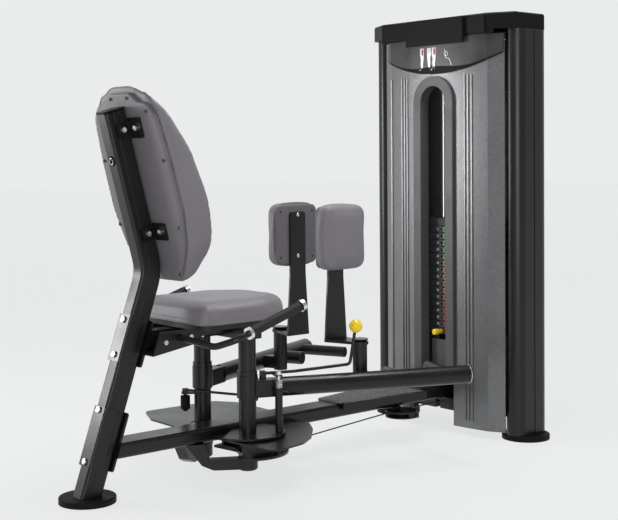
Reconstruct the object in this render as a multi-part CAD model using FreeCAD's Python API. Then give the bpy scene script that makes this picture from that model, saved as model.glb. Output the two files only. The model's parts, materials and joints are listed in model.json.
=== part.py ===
import FreeCAD, Part
import math
import os
from FreeCAD import Vector

# Hip adductor / abductor machine.  Millimetres, +Z up.  The geometry is laid out with x measured
# forward from the centre of the rear foot, y to the user's left, z up from the floor.  On export
# every solid moves back by MIDDLE_X, so that the origin is on the floor under the middle of the
# machine's bounding box.

# ---------------------------------------------------------------- driving dimensions
FOOT_R = 92.5
FOOT_H = 20.0
TOWER_X = 1749.0
TOWER_Y = -10.0
TOWER_HALF_Y = 351.0
TOWER_BACK_X = 1885.0
TOP_Z = 1652.0
MIDDLE_X = (TOWER_BACK_X - FOOT_R) / 2.0

POST_FOOT_X = -7.0
POST_BEND = (243.0, 729.0)
POST_TOP = (103.0, 1252.0)
POST_DEEP = 76.0
POST_WIDE = 60.0
POST_WALL = 5.0
GROOVE = (-20.0, -8.0)

BEAM_HALF_Y = 55.0
BEAM_Z0 = 132.0
BEAM_Z1 = 182.0
BEAM_END_X = 1655.0

PIVOT_X = 553.0
PIVOT_Y = 130.0
SHAFT_R = 25.0
SLEEVE_R = 30.0
RUN_FIT = 0.05
SHAFT_Z0 = 46.0
SEAT_FRAME_Z0 = 487.0
SEAT_FRAME_Z1 = 535.0

ARM_SPREAD = 23.0
ARM_Z = 313.0
ARM_R = 33.0
ARM_START = 118.0
ARM_END = 836.0
HUB_Z0 = 283.0
HUB_Z1 = 360.0
HUB_R = 36.0
STUB_S = 441.0
STUB_O = 85.0
STUB_R = 26.0
JOURNAL_R = 20.0
COLLAR_Z0 = 430.4
COLLAR_Z1 = 440.4
PEGS = ((555.0, 25.0, 125.0), (760.0, 21.0, 215.0))

PLUNGER_S = 98.0
PLUNGER_O = -47.0
PLUNGER_PIN_R = 6.0
LEVER_PIVOT_S = 55.0
LEVER_PIVOT_Z = 362.0
LEVER_ROD_R = 5.5
BALL_R = 23.0

CAM_Z0 = 82.0
CAM_Z1 = 282.7
SECTOR_R = 140.0
SECTOR_Z0 = 96.0
SECTOR_T = 8.0
DRUM_TOP = 140.0
CABLE_DRUM_R = 105.0
CABLE_R = 2.5
DRUM_CABLE_Z = 128.0
CABLE_Z = 110.0
INDEX_R = 130.0
INDEX_Z0 = 160.0
INDEX_T = 7.0
CRANK_R = 62.0
CRANK_Z0 = 262.0
CRANK_T = 8.0
CRANK_ANGLE = 30.0
ROD_Z = 276.0
ROD_R = 4.5
LOW_ARM_ANGLE = 149.9

PAD_X = 982.0
PAD_PLATE_Y = 102.0
PAD_PLATE_T = 8.0
PAD_BOARD_T = 10.0
PAD_THICK = 52.0
PAD_HALF_X = 106.0
PAD_Z0 = 694.0
PAD_Z1 = 930.0

SEAT_X0 = 318.0
SEAT_X1 = 757.0
SEAT_HALF_Y = 205.0
SEAT_NOSE_R = 194.0
SEAT_BOARD_T = 18.0
SEAT_THICK = 72.0

BACK_GAP = 42.0
BACK_BOARD_T = 18.0
LUGS = ((126.0, 29.0), (478.0, 34.0))
BOARD_SCREWS = ((-20.0, 120.0), (142.0, 176.0), (367.0, 176.0), (530.0, 142.0), (576.0, 48.0))

STACK_X0 = 1645.0
STACK_DEEP = 110.0
STACK_X = STACK_X0 + STACK_DEEP / 2.0
STACK_Y = -14.0
STACK_HALF_Y = 150.0
STACK_Z0 = 380.5
PLATE_T = 25.5
PLATE_PITCH = 27.5
PLATES = 16
TOP_PLATE_T = 30.0
GUIDE_R = 9.0
GUIDE_Y = 38.0
SELECTOR_R = 12.0
PIN_R = 4.0

BASE_Z0 = 85.0
UPRIGHT_TOP = 1589.0
TOP_BAR_Z0 = 1576.0
SHROUD_FRONT = 1600.0
SHROUD_T = 3.0
SHEET_Y = -20.0
SHEET_HALF = 262.0
SHEET_BOW = 20.0
RETURN_DEEP = 50.0
RETURN_REACH = 322.0
SLOT_Y = -18.0
SLOT_HALF = 70.5
LINING_HALF = 67.0
RING_HALF = 106.0
RING_JOINT_Z = 1290.0
SLOT_TOP = 1316.0
SLOT_BOTTOM = 235.0
HEADER_Z0 = 1573.0

HEAD_PULLEY_R = 55.0
HEAD_PULLEY_Z = 1500.0
BASE_PULLEY_R = 50.0
PULLEY_T = 20.0
IDLER_X = 1345.0
IDLER_Y = -80.0
IDLER_R = 45.0


os.makedirs("parts", exist_ok=True)


# ---------------------------------------------------------------- shape helpers
def box(x0, x1, y0, y1, z0, z1):
    return Part.makeBox(x1 - x0, y1 - y0, z1 - z0, Vector(x0, y0, z0))


def rod(p, q, radius):
    start = Vector(*p)
    along = Vector(*q) - start
    return Part.makeCylinder(radius, along.Length, start, along)


def pipe(p, q, outer, inner):
    return rod(p, q, outer).cut(rod(p, q, inner))


def upright_rod(x, y, z0, z1, radius):
    return rod((x, y, z0), (x, y, z1), radius)


def rounded_wire(corners):
    """Closed wire in the XY plane.  Each corner is (x, y, radius)."""
    edges = []
    count = len(corners)
    ends = []
    for i in range(count):
        here = Vector(corners[i][0], corners[i][1], 0)
        before = Vector(corners[i - 1][0], corners[i - 1][1], 0)
        after = Vector(corners[(i + 1) % count][0], corners[(i + 1) % count][1], 0)
        to_before = (before - here).normalize()
        to_after = (after - here).normalize()
        radius = corners[i][2]
        angle = to_before.getAngle(to_after)
        if radius <= 0:
            ends.append((here, here))
            continue
        cut = radius / math.tan(angle / 2.0)
        first = here + to_before * cut
        last = here + to_after * cut
        bisector = (to_before + to_after).normalize()
        centre = here + bisector * (radius / math.sin(angle / 2.0))
        middle = centre - bisector * radius
        edges.append((i, Part.Arc(first, middle, last).toShape()))
        ends.append((first, last))
    arcs = dict(edges)
    chain = []
    for i in range(count):
        if i in arcs:
            chain.append(arcs[i])
        start = ends[i][1]
        stop = ends[(i + 1) % count][0]
        if (stop - start).Length > 1e-6:
            chain.append(Part.LineSegment(start, stop).toShape())
    return Part.Wire(chain)


def plate(corners, z0, thickness):
    face = Part.Face(rounded_wire(corners))
    solid = face.extrude(Vector(0, 0, thickness))
    solid.translate(Vector(0, 0, z0))
    return solid


def rectangle(x0, x1, y0, y1, radius):
    return [(x0, y0, radius), (x1, y0, radius), (x1, y1, radius), (x0, y1, radius)]


def rounded_box(x0, x1, y0, y1, z0, z1, radius):
    return plate(rectangle(x0, x1, y0, y1, radius), z0, z1 - z0)


def bent_wire(points, bends):
    """Open wire of straight runs joined by arcs; bends has one radius per inner point."""
    nodes = [Vector(*p) for p in points]
    edges = []
    start = nodes[0]
    for i in range(1, len(nodes) - 1):
        here = nodes[i]
        back = (nodes[i - 1] - here).normalize()
        on = (nodes[i + 1] - here).normalize()
        angle = back.getAngle(on)
        cut = bends[i - 1] / math.tan(angle / 2.0)
        first = here + back * cut
        last = here + on * cut
        bisector = (back + on).normalize()
        centre = here + bisector * (bends[i - 1] / math.sin(angle / 2.0))
        middle = centre - bisector * bends[i - 1]
        edges.append(Part.LineSegment(start, first).toShape())
        edges.append(Part.Arc(first, middle, last).toShape())
        start = last
    edges.append(Part.LineSegment(start, nodes[-1]).toShape())
    return Part.Wire(edges)


def bent_rod(points, bends, radius):
    path = bent_wire(points, bends)
    start = Vector(*points[0])
    along = Vector(*points[1]) - start
    section = Part.Wire(Part.makeCircle(radius, start, along))
    return path.makePipeShell([section], True, False)


def mirrored(shape):
    return shape.mirror(Vector(0, 0, 0), Vector(0, 1, 0))


def both(shape):
    return [shape, mirrored(shape)]


def on_right_arm(shape):
    """Arm shapes are drawn along +X from the pivot with the inner side towards +Y."""
    placed = shape.copy()
    placed.rotate(Vector(0, 0, 0), Vector(0, 0, 1), -ARM_SPREAD)
    placed.translate(Vector(PIVOT_X, -PIVOT_Y, 0))
    return placed


def edges_near(shape, test):
    return [edge for edge in shape.Edges if test(edge.CenterOfMass)]


def save(name, *shapes):
    solids = []
    for shape in shapes:
        solids.extend(shape.Solids)
    joined = solids[0] if len(solids) == 1 else Part.makeCompound(solids)
    placed = joined.copy()
    placed.translate(Vector(-MIDDLE_X, 0, 0))
    if not placed.isValid():
        print("invalid solid:", name)
    placed.exportStep("parts/" + name + ".step")


# ---------------------------------------------------------------- rear post and its clamps
LOW_DIR = Vector(POST_BEND[0] - POST_FOOT_X, 0, POST_BEND[1]).normalize()
HIGH_DIR = Vector(POST_TOP[0] - POST_BEND[0], 0, POST_TOP[1] - POST_BEND[1]).normalize()
HIGH_LEN = math.hypot(POST_TOP[0] - POST_BEND[0], POST_TOP[1] - POST_BEND[1])



def tilt_frame(origin, up):
    """Placement that turns local z into up, local x into the forward normal, keeping y."""
    angle = math.degrees(math.atan2(up.x, up.z))
    return FreeCAD.Placement(origin, FreeCAD.Rotation(Vector(0, 1, 0), angle))


LOW_FRAME = tilt_frame(Vector(POST_FOOT_X, 0, 0), LOW_DIR)
HIGH_FRAME = tilt_frame(Vector(POST_BEND[0], 0, POST_BEND[1]), HIGH_DIR)


def placed_in(frame, shape):
    moved = shape.copy()
    moved.Placement = frame.multiply(moved.Placement)
    return moved


def post_section(grow=0.0, groove=2.5):
    """Rounded rectangle with a shallow groove down each side, in the local XY plane."""
    deep = POST_DEEP / 2.0 + grow
    wide = POST_WIDE / 2.0 + grow
    r = 10.0 + grow
    if groove <= 0:
        return rectangle(-deep, deep, -wide, wide, r)
    near, far = GROOVE
    floor = wide - groove
    right = [
        (-deep, -wide, r), (near, -wide, 1.0), (near, -floor, 1.0),
        (far, -floor, 1.0), (far, -wide, 1.0), (deep, -wide, r),
    ]
    return right + [(x, -y, radius) for x, y, radius in reversed(right)]


def rear_post():
    foot = (POST_FOOT_X, 0, 0)
    path = bent_wire([foot, (POST_BEND[0], 0, POST_BEND[1]), (POST_TOP[0], 0, POST_TOP[1])], [150.0])
    section = rounded_wire(post_section())
    section.Placement = tilt_frame(Vector(*foot), LOW_DIR)
    outer = path.makePipeShell([section], True, False)
    half_deep = POST_DEEP / 2.0 - POST_WALL
    half_wide = POST_WIDE / 2.0 - POST_WALL
    core = rounded_wire(rectangle(-half_deep, half_deep, -half_wide, half_wide, 6.0))
    core.Placement = tilt_frame(Vector(*foot), LOW_DIR)
    tube = outer.cut(path.makePipeShell([core], True, False))
    return tube.cut(box(-200, 200, -100, 100, -60, FOOT_H))


def clamp_channel(frame, low, high, wall):
    """U channel hugging the back and sides of the post between two heights along it."""
    deep = POST_DEEP / 2.0
    wide = POST_WIDE / 2.0
    gap = 0.4
    side = wide + gap + wall
    outer = plate(rectangle(-deep - gap - wall, 12.0, -side, side, 6.0), low, high - low)
    hollow = plate(rectangle(-deep - gap, 60.0, -wide - gap, wide + gap, 9.0), low - 5, high - low + 10)
    return placed_in(frame, outer.cut(hollow))


def through_bolt(frame, height, back, front, y=0.0):
    """Bolt along the post's fore-aft axis: domed head behind, nut in front."""
    shank = rod((back, y, height), (front, y, height), 6.0)
    head = rod((back - 6.0, y, height), (back, y, height), 11.0)
    head = head.makeFillet(2.5, edges_near(head, lambda c: c.x < back - 5.9))
    nut = rod((front, y, height), (front + 7.0, y, height), 10.0)
    return placed_in(frame, shank.fuse(head).fuse(nut))


LOW_CLAMP = (110.0, 304.0)
UPPER_CLAMP = (455.0, 612.0)
LOW_BOLTS = (124.0, 293.0)
UPPER_BOLTS = (476.0, 593.0)
FLANGE_FRONT = POST_DEEP / 2.0 + 8.4


def flange_plate(low, high):
    """Flat plate standing against the front of the post."""
    front = POST_DEEP / 2.0 + 0.4
    flat = rounded_box(low, high, -42.0, 42.0, 0.0, 8.0, 10.0)
    flat.rotate(Vector(0, 0, 0), Vector(0, 1, 0), -90)
    flat.translate(Vector(front + 8.0, 0, 0))
    return placed_in(LOW_FRAME, flat)


def bore_for_bolts(shape, heights):
    for height in heights:
        shape = shape.cut(placed_in(LOW_FRAME, rod((-90, 0, height), (90, 0, height), 6.3)))
    return shape


post = bore_for_bolts(rear_post(), LOW_BOLTS + UPPER_BOLTS)
save("rear_post", post)

cap_plate = plate(post_section(grow=2.0, groove=0.0), HIGH_LEN + 0.3, 8.0)
cap_plug = plate(rectangle(-30.0, 30.0, -22.0, 22.0, 8.0), HIGH_LEN - 22.0, 22.3)
save("rear_post_cap", placed_in(HIGH_FRAME, cap_plate.fuse(cap_plug)))

clamps = []
for low, high in (LOW_CLAMP, UPPER_CLAMP):
    clamps.append(bore_for_bolts(clamp_channel(LOW_FRAME, low, high, 5.0), LOW_BOLTS + UPPER_BOLTS))
save("post_clamps", *clamps)

back_face = -POST_DEEP / 2.0 - 5.7
bolts = [through_bolt(LOW_FRAME, height, back_face, FLANGE_FRONT + 0.3) for height in LOW_BOLTS + UPPER_BOLTS]
save("post_bolts", *bolts)

# ---------------------------------------------------------------- feet
foot_spots = [(0.0, 0.0), (TOWER_X, TOWER_Y - TOWER_HALF_Y), (TOWER_X, TOWER_Y + TOWER_HALF_Y)]
discs = []
for x, y in foot_spots:
    disc = upright_rod(x, y, 0, FOOT_H, FOOT_R)
    discs.append(disc.makeFillet(4.0, edges_near(disc, lambda c: c.z > FOOT_H - 0.1)))
save("foot_discs", *discs)

# ---------------------------------------------------------------- main beam
beam_start = 50.0
beam = rounded_box(BEAM_Z0, BEAM_Z1, -BEAM_HALF_Y, BEAM_HALF_Y, 0.0, BEAM_END_X - beam_start, 12.0)
inner = BEAM_HALF_Y - 4
beam_core = rounded_box(BEAM_Z0 + 4, BEAM_Z1 - 4, -inner, inner, 0.0, BEAM_END_X - beam_start, 8.0)
beam = beam.cut(beam_core)
beam.rotate(Vector(0, 0, 0), Vector(0, 1, 0), 90)
beam.rotate(Vector(0, 0, 0), Vector(1, 0, 0), 180)
beam.translate(Vector(beam_start, 0, 0))
in_front_of_post = placed_in(LOW_FRAME, box(POST_DEEP / 2.0 + 0.4, 2000.0, -200, 200, -200, 700))
flange = bore_for_bolts(flange_plate(*LOW_CLAMP), LOW_BOLTS)
long_beam = beam.common(in_front_of_post)
save("main_beam", long_beam.fuse(flange))

# ---------------------------------------------------------------- seat frame
def upright_prism(points, y0, y1):
    """Prism whose (x, z) outline is extruded across the machine."""
    prism = plate([(x, z, 0) for x, z in points], 0.0, y1 - y0)
    prism.rotate(Vector(0, 0, 0), Vector(1, 0, 0), 90)
    prism.translate(Vector(0, y1, 0))
    return prism


top = SEAT_FRAME_Z1
rear_tube = box(150, 610, -30, 30, SEAT_FRAME_Z0 + 3, top - 3).common(in_front_of_post)
cross = rounded_box(512, 594, -172, 172, SEAT_FRAME_Z0, top, 20.0)
for side in (-1, 1):
    cross = cross.cut(upright_rod(PIVOT_X, side * PIVOT_Y, SEAT_FRAME_Z0 - 1, SEAT_FRAME_Z0 + 20, SHAFT_R))
bracket = upright_prism([(150, 452), (360, 484), (360, top), (150, top)], -102, 102)
bracket_core = upright_prism([(120, 453), (355, 489), (355, top + 1), (120, top + 1)], -96, 96)
bracket = bracket.cut(bracket_core).common(in_front_of_post)
front_rib = box(606, 650, -120, 120, top - 30, top)
rail = box(346, 700, 70, 96, top - 28, top)
seat_frame = rear_tube.fuse(cross).fuse(bracket).fuse(front_rib).fuse(rail).fuse(mirrored(rail))
seat_frame = seat_frame.fuse(bore_for_bolts(flange_plate(*UPPER_CLAMP), UPPER_BOLTS))
seat_frame = bore_for_bolts(seat_frame.removeSplitter(), UPPER_BOLTS)
for height in UPPER_BOLTS:
    nut_room = rod((FLANGE_FRONT, 0, height), (FLANGE_FRONT + 12.0, 0, height), 13.0)
    seat_frame = seat_frame.cut(placed_in(LOW_FRAME, nut_room))
save("seat_frame", seat_frame)


def seat_outline(shrink=0.0):
    x0 = SEAT_X0 + shrink
    x1 = SEAT_X1 - shrink
    y = SEAT_HALF_Y - shrink
    nose = SEAT_NOSE_R - shrink
    return [(x0, -y, 36), (x1, -y, nose), (x1, y, nose), (x0, y, 36)]


seat_board = plate(seat_outline(12.0), SEAT_FRAME_Z1, SEAT_BOARD_T)
save("seat_board", seat_board)
seat_z = SEAT_FRAME_Z1 + SEAT_BOARD_T
cushion = plate(seat_outline(), seat_z, SEAT_THICK)
cushion = cushion.makeFillet(24.0, edges_near(cushion, lambda c: c.z > seat_z + SEAT_THICK - 0.1))
save("seat_cushion", cushion)


# ---------------------------------------------------------------- backrest
def both_edges(right):
    """Closed outline in (up, y) from its right half, listed upward."""
    return [(u, -y, r) for u, y, r in right] + [(u, y, r) for u, y, r in reversed(right)]


def back_slab(outline, near, far):
    slab = plate(outline, 0.0, far - near)
    slab.rotate(Vector(0, 0, 0), Vector(0, 1, 0), -90)
    slab.translate(Vector(far, 0, 0))
    return slab


board_face = BACK_GAP + BACK_BOARD_T
BOARD_EDGE = [
    (-46.0, 96.0, 50), (70.0, 170.0, 200), (200.0, 199.0, 300), (380.0, 195.0, 300),
    (510.0, 182.0, 60), (553.0, 148.0, 24), (562.0, 98.0, 10), (592.0, 62.0, 36),
]
CUSHION_EDGE = [
    (-52.0, 104.0, 56), (66.0, 178.0, 200), (200.0, 207.0, 300), (380.0, 203.0, 300),
    (520.0, 186.0, 80), (576.0, 140.0, 60), (607.0, 60.0, 100),
]
save("back_board", placed_in(HIGH_FRAME, back_slab(both_edges(BOARD_EDGE), BACK_GAP, board_face)))
back_cushion = back_slab(both_edges(CUSHION_EDGE), board_face, board_face + 130.0)
BACK_PROFILE = [
    (board_face, -60.0, 0), (104.0, -60.0, 30), (165.0, 30.0, 60), (167.0, 170.0, 200),
    (138.0, 375.0, 200), (78.0, 560.0, 60), (66.0, 612.0, 0), (board_face, 612.0, 0),
]
side_profile = plate(BACK_PROFILE, -250.0, 500.0)
side_profile.rotate(Vector(0, 0, 0), Vector(1, 0, 0), 90)
back_cushion = back_cushion.common(side_profile)
save("back_cushion", placed_in(HIGH_FRAME, back_cushion))

lugs = []
for height, half in LUGS:
    for side in (-1, 1):
        inner = POST_WIDE / 2.0 + 0.4
        pad = box(BACK_GAP - 6, BACK_GAP, inner, 100.0, height - half, height + half)
        pad = pad.makeFillet(6.0, edges_near(pad, lambda c: c.y > 99.9 and abs(c.z - height) > half - 0.1))
        ear = box(-12, BACK_GAP, inner, inner + 6.0, height - 24, height + 24)
        lug = pad.fuse(ear).removeSplitter()
        lugs.append(placed_in(HIGH_FRAME, lug if side > 0 else mirrored(lug)))
save("backrest_lugs", *lugs)

fixings = []
for height, half in LUGS:
    for side in (-1, 1):
        head = rod((BACK_GAP - 13, side * 72.0, height), (BACK_GAP - 6, side * 72.0, height), 9.5)
        side_face = side * (POST_WIDE / 2.0 + 6.4)
        side_tip = side * (POST_WIDE / 2.0 + 12.4)
        side_head = rod((10, side_face, height), (10, side_tip, height), 9.0)
        fixings.append(placed_in(HIGH_FRAME, head))
        fixings.append(placed_in(HIGH_FRAME, side_head))
for up, y in BOARD_SCREWS:
    for side in (-1, 1):
        screw = rod((BACK_GAP - 2.5, side * y, up), (BACK_GAP, side * y, up), 5.5)
        fixings.append(placed_in(HIGH_FRAME, screw))
for x, z in ((238.0, 500.0), (338.0, 510.0)):
    for side in (-1, 1):
        fixings.append(rod((x, side * 102.0, z), (x, side * 108.0, z), 8.0))
for x in (400.0, 628.0):
    for side in (-1, 1):
        fixings.append(upright_rod(x, side * 83.0, SEAT_FRAME_Z1 - 34.0, SEAT_FRAME_Z1 - 30.0, 7.0))
fixings = [solid for piece in fixings for solid in piece.cut(seat_frame).Solids]
save("upholstery_bolts", *fixings)

# ---------------------------------------------------------------- handles
GRIP_Y = 332.0
GRIP_START = Vector(404.0, -GRIP_Y, 537.0)
GRIP_STOP = Vector(628.0, -GRIP_Y, 609.0)
GRIP_R = 17.0
grip_dir = (GRIP_STOP - GRIP_START).normalize()
tube_points = [
    (294.0, -102.3, 512.0), (318.0, -262.0, 494.0), (352.0, -GRIP_Y, 520.28),
    (GRIP_STOP.x, -GRIP_Y, GRIP_STOP.z),
]
handle_tube = bent_rod(tube_points, [70.0, 45.0], 11.0).cut(seat_frame)
save("handle_tubes", *both(handle_tube))
grip_a = GRIP_START + grip_dir * 8
grip_b = GRIP_STOP - grip_dir * 8
grip = pipe(tuple(grip_a), tuple(grip_b), GRIP_R, 11.05)
save("handle_grips", *both(grip))
collars = []
for a, b in ((GRIP_START - grip_dir * 4, grip_a), (grip_b, GRIP_STOP + grip_dir * 6)):
    collar = rod(tuple(a), tuple(b), 20.0)
    collars.append(collar.cut(handle_tube))
save("grip_collars", *[piece for c in collars for piece in both(c)])

# ---------------------------------------------------------------- pivots
shaft = upright_rod(PIVOT_X, -PIVOT_Y, SHAFT_Z0, SEAT_FRAME_Z0 + 20.0, SHAFT_R)
spacer_z0 = HUB_Z1 + 0.4
upper_tube = upright_rod(PIVOT_X, -PIVOT_Y, spacer_z0, SEAT_FRAME_Z0, SLEEVE_R)
upper_ring = upright_rod(PIVOT_X, -PIVOT_Y, spacer_z0, spacer_z0 + 15.6, SLEEVE_R + 4)
spacer = upper_tube.fuse(upper_ring).cut(shaft)
save("pivot_shafts", *both(shaft), *both(spacer))

cup = upright_rod(PIVOT_X, -PIVOT_Y, 36.0, CAM_Z0 - 0.4, 34.0)
cup = cup.makeChamfer(5.0, edges_near(cup, lambda c: c.z < 36.1))
low_profile = [
    (0.0, 40.0, 0), (0.0, 78.0, 0), (130.0, 78.0, 8), (150.0, BEAM_Z0 - 0.2, 0),
    (215.0, BEAM_Z0 - 0.2, 0), (190.0, 100.0, 20), (160.0, 60.0, 20), (120.0, 42.0, 20),
]
low_arm = plate(low_profile, -20.0, 40.0)
low_arm.rotate(Vector(0, 0, 0), Vector(1, 0, 0), 90)
low_arm.rotate(Vector(0, 0, 0), Vector(0, 0, 1), LOW_ARM_ANGLE)
low_arm.translate(Vector(PIVOT_X, -PIVOT_Y, 0))
lower = cup.fuse(low_arm).cut(shaft).removeSplitter()
save("lower_bearings", *both(lower))


# ---------------------------------------------------------------- wing guards
RIGHT_WING = [
    (440.0, -BEAM_HALF_Y, 0), (830.0, -BEAM_HALF_Y, 0), (828.0, -135.0, 30), (775.0, -215.0, 60),
    (689.0, -305.0, 60), (613.0, -354.0, 60), (470.0, -382.0, 36), (455.0, -300.0, 20),
]
LEFT_WING = [
    (440.0, BEAM_HALF_Y, 0), (870.0, BEAM_HALF_Y, 0), (872.0, 341.0, 40), (816.0, 425.0, 30),
    (511.0, 440.0, 36), (449.0, 307.0, 30),
]


def wing_guard(outline, side):
    sheet = plate(outline, 150.0, 6.0)
    low = min(side * (BEAM_HALF_Y - 1), side * (PIVOT_Y + 42))
    high = max(side * (BEAM_HALF_Y - 1), side * (PIVOT_Y + 42))
    return sheet.cut(rounded_box(PIVOT_X - 42, PIVOT_X + 42, low, high, 140, 160, 38.0))


save("wing_guards", wing_guard(RIGHT_WING, -1), wing_guard(LEFT_WING, 1))


# ---------------------------------------------------------------- tread plate
def tread_plate():
    z = BEAM_Z1 + 0.3
    top = plate([(1040, -64, 8), (1452, -122, 8), (1452, 122, 8), (1040, 64, 8)], z, 5.0)
    flange_outline = [(1052, -66, 0), (1440, -120.5, 0), (1440, -124.5, 0), (1052, -70, 0)]
    side = plate(flange_outline, z - 24.0, 29.0)
    return top.fuse(side).fuse(mirrored(side)).removeSplitter()


save("tread_plate", tread_plate())


# ---------------------------------------------------------------- cam on the right shaft
def hub_sleeve(z0, z1):
    return pipe((0, 0, z0), (0, 0, z1), SLEEVE_R, SHAFT_R + RUN_FIT)


def crank(angle):
    reach = CRANK_R + 14
    arm = plate([(0, -14, 0), (reach, -14, 13.9), (reach, 14, 13.9), (0, 14, 0)], CRANK_Z0, CRANK_T)
    arm = arm.cut(upright_rod(0, 0, CRANK_Z0 - 1, CRANK_Z0 + CRANK_T + 1, SLEEVE_R - 1))
    pin = upright_rod(CRANK_R, 0, CRANK_Z0 + CRANK_T - 1.0, ROD_Z + 5.4, 5.0)
    arm = arm.fuse(pin)
    arm.rotate(Vector(0, 0, 0), Vector(0, 0, 1), angle)
    return arm


def spot(radius, degrees):
    """Point on a circle round the pivot."""
    return radius * math.cos(math.radians(degrees)), radius * math.sin(math.radians(degrees))


def cam():
    body = hub_sleeve(CAM_Z0, CAM_Z1)
    sector = upright_rod(0, 0, SECTOR_Z0, SECTOR_Z0 + SECTOR_T, SECTOR_R)
    sector_top = SECTOR_Z0 + SECTOR_T
    drum = upright_rod(0, 0, sector_top, DRUM_TOP, CABLE_DRUM_R - CABLE_R - 0.4)
    drum = drum.cut(upright_rod(0, 0, sector_top + 6, DRUM_TOP + 1, 92.0))
    notch = [
        (-130, -130, 0), (-85, -85, 0), (-32, 22, 0), (-45, 125, 0),
        (-52, 200, 0), (-250, 200, 0), (-250, -130, 0),
    ]
    wheel = sector.fuse(drum).cut(plate(notch, SECTOR_Z0 - 1, 60.0))
    index = upright_rod(0, 0, INDEX_Z0, INDEX_Z0 + INDEX_T, INDEX_R)
    for turn in (0.0, 10.0, 20.0, 30.0, 40.5):
        bite = box(-200, 200, 60, 200, BEAM_Z0 - 2, INDEX_Z0 + INDEX_T + 1)
        bite.rotate(Vector(0, 0, 0), Vector(0, 0, 1), turn)
        index = index.cut(bite)
        wheel = wheel.cut(bite)
    for step in range(15):
        x, y = spot(124.0, -150 + 15 * step)
        wheel = wheel.cut(upright_rod(x, y, SECTOR_Z0 - 1, sector_top + 1, 6.0))
    for step in range(5):
        x, y = spot(66.0, -110 + 38 * step)
        wheel = wheel.cut(upright_rod(x, y, SECTOR_Z0 - 1, DRUM_TOP, 15.0))
    reach = math.hypot(PLUNGER_S, PLUNGER_O)
    first = math.degrees(math.atan2(PLUNGER_O, PLUNGER_S)) - ARM_SPREAD
    for step in range(4):
        x, y = spot(reach, first - 10 * step)
        index = index.cut(upright_rod(x, y, INDEX_Z0 - 1, INDEX_Z0 + INDEX_T + 1, 6.6))
    body = body.fuse(wheel).fuse(index)
    body = body.cut(upright_rod(0, 0, CAM_Z0 - 1, CAM_Z1 + 1, SHAFT_R + RUN_FIT))
    body = body.fuse(crank(CRANK_ANGLE))
    body.translate(Vector(PIVOT_X, -PIVOT_Y, 0))
    return body


save("right_cam", cam())


def left_hub():
    body = hub_sleeve(CAM_Z0, CAM_Z1).fuse(crank(180.0 - CRANK_ANGLE))
    low_ring = pipe((0, 0, CAM_Z0), (0, 0, CAM_Z0 + 22), SLEEVE_R + 6, SHAFT_R + RUN_FIT)
    body = body.fuse(low_ring)
    body.translate(Vector(PIVOT_X, PIVOT_Y, 0))
    return body


save("left_sleeve", left_hub())

bumper_x, bumper_y = spot(CRANK_R, 180.0 - CRANK_ANGLE)
bumper = upright_rod(bumper_x, bumper_y, 208.0, 256.0, 17.0)
bumper = bumper.makeFillet(3.0, edges_near(bumper, lambda c: c.z < 208.1 or c.z > 255.9))
stud = upright_rod(bumper_x, bumper_y, 256.0, CRANK_Z0, 6.0)
nut = upright_rod(bumper_x, bumper_y, 201.0, 208.0, 9.0)
bumper = bumper.fuse(stud).fuse(nut)
bumper.translate(Vector(PIVOT_X, PIVOT_Y, 0))
save("stop_bumper", bumper)


def sync_rod():
    """Rod between the two crank pins; the right end is a slotted eye, in which the pin slides."""
    left_x, left_y = spot(CRANK_R, 180.0 - CRANK_ANGLE)
    right_x, right_y = spot(CRANK_R, CRANK_ANGLE)
    left = Vector(PIVOT_X + left_x, PIVOT_Y + left_y, ROD_Z)
    right = Vector(PIVOT_X + right_x, -PIVOT_Y + right_y, ROD_Z)
    travel = 2.0 * CRANK_R * (1.0 - math.cos(math.radians(CRANK_ANGLE)))
    unit = (right - left).normalize()
    shank = rod(tuple(left + unit * 9), tuple(right - unit * 11), ROD_R)
    eye = upright_rod(left.x, left.y, ROD_Z - 5, ROD_Z + 5, 11.0)
    x0 = right.x - 2.0
    x1 = right.x + travel + 2.0
    head = rounded_box(x0 - 12, x1 + 12, right.y - 12, right.y + 12, ROD_Z - 5, ROD_Z + 5, 11.0)
    slot = rounded_box(x0 - 5.4, x1 + 5.4, right.y - 5.4, right.y + 5.4, ROD_Z - 9, ROD_Z + 9, 5.3)
    shape = shank.fuse(eye).fuse(head).cut(slot)
    return shape.cut(upright_rod(left.x, left.y, ROD_Z - 9, ROD_Z + 9, 5.05))


save("sync_rod", sync_rod())


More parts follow.
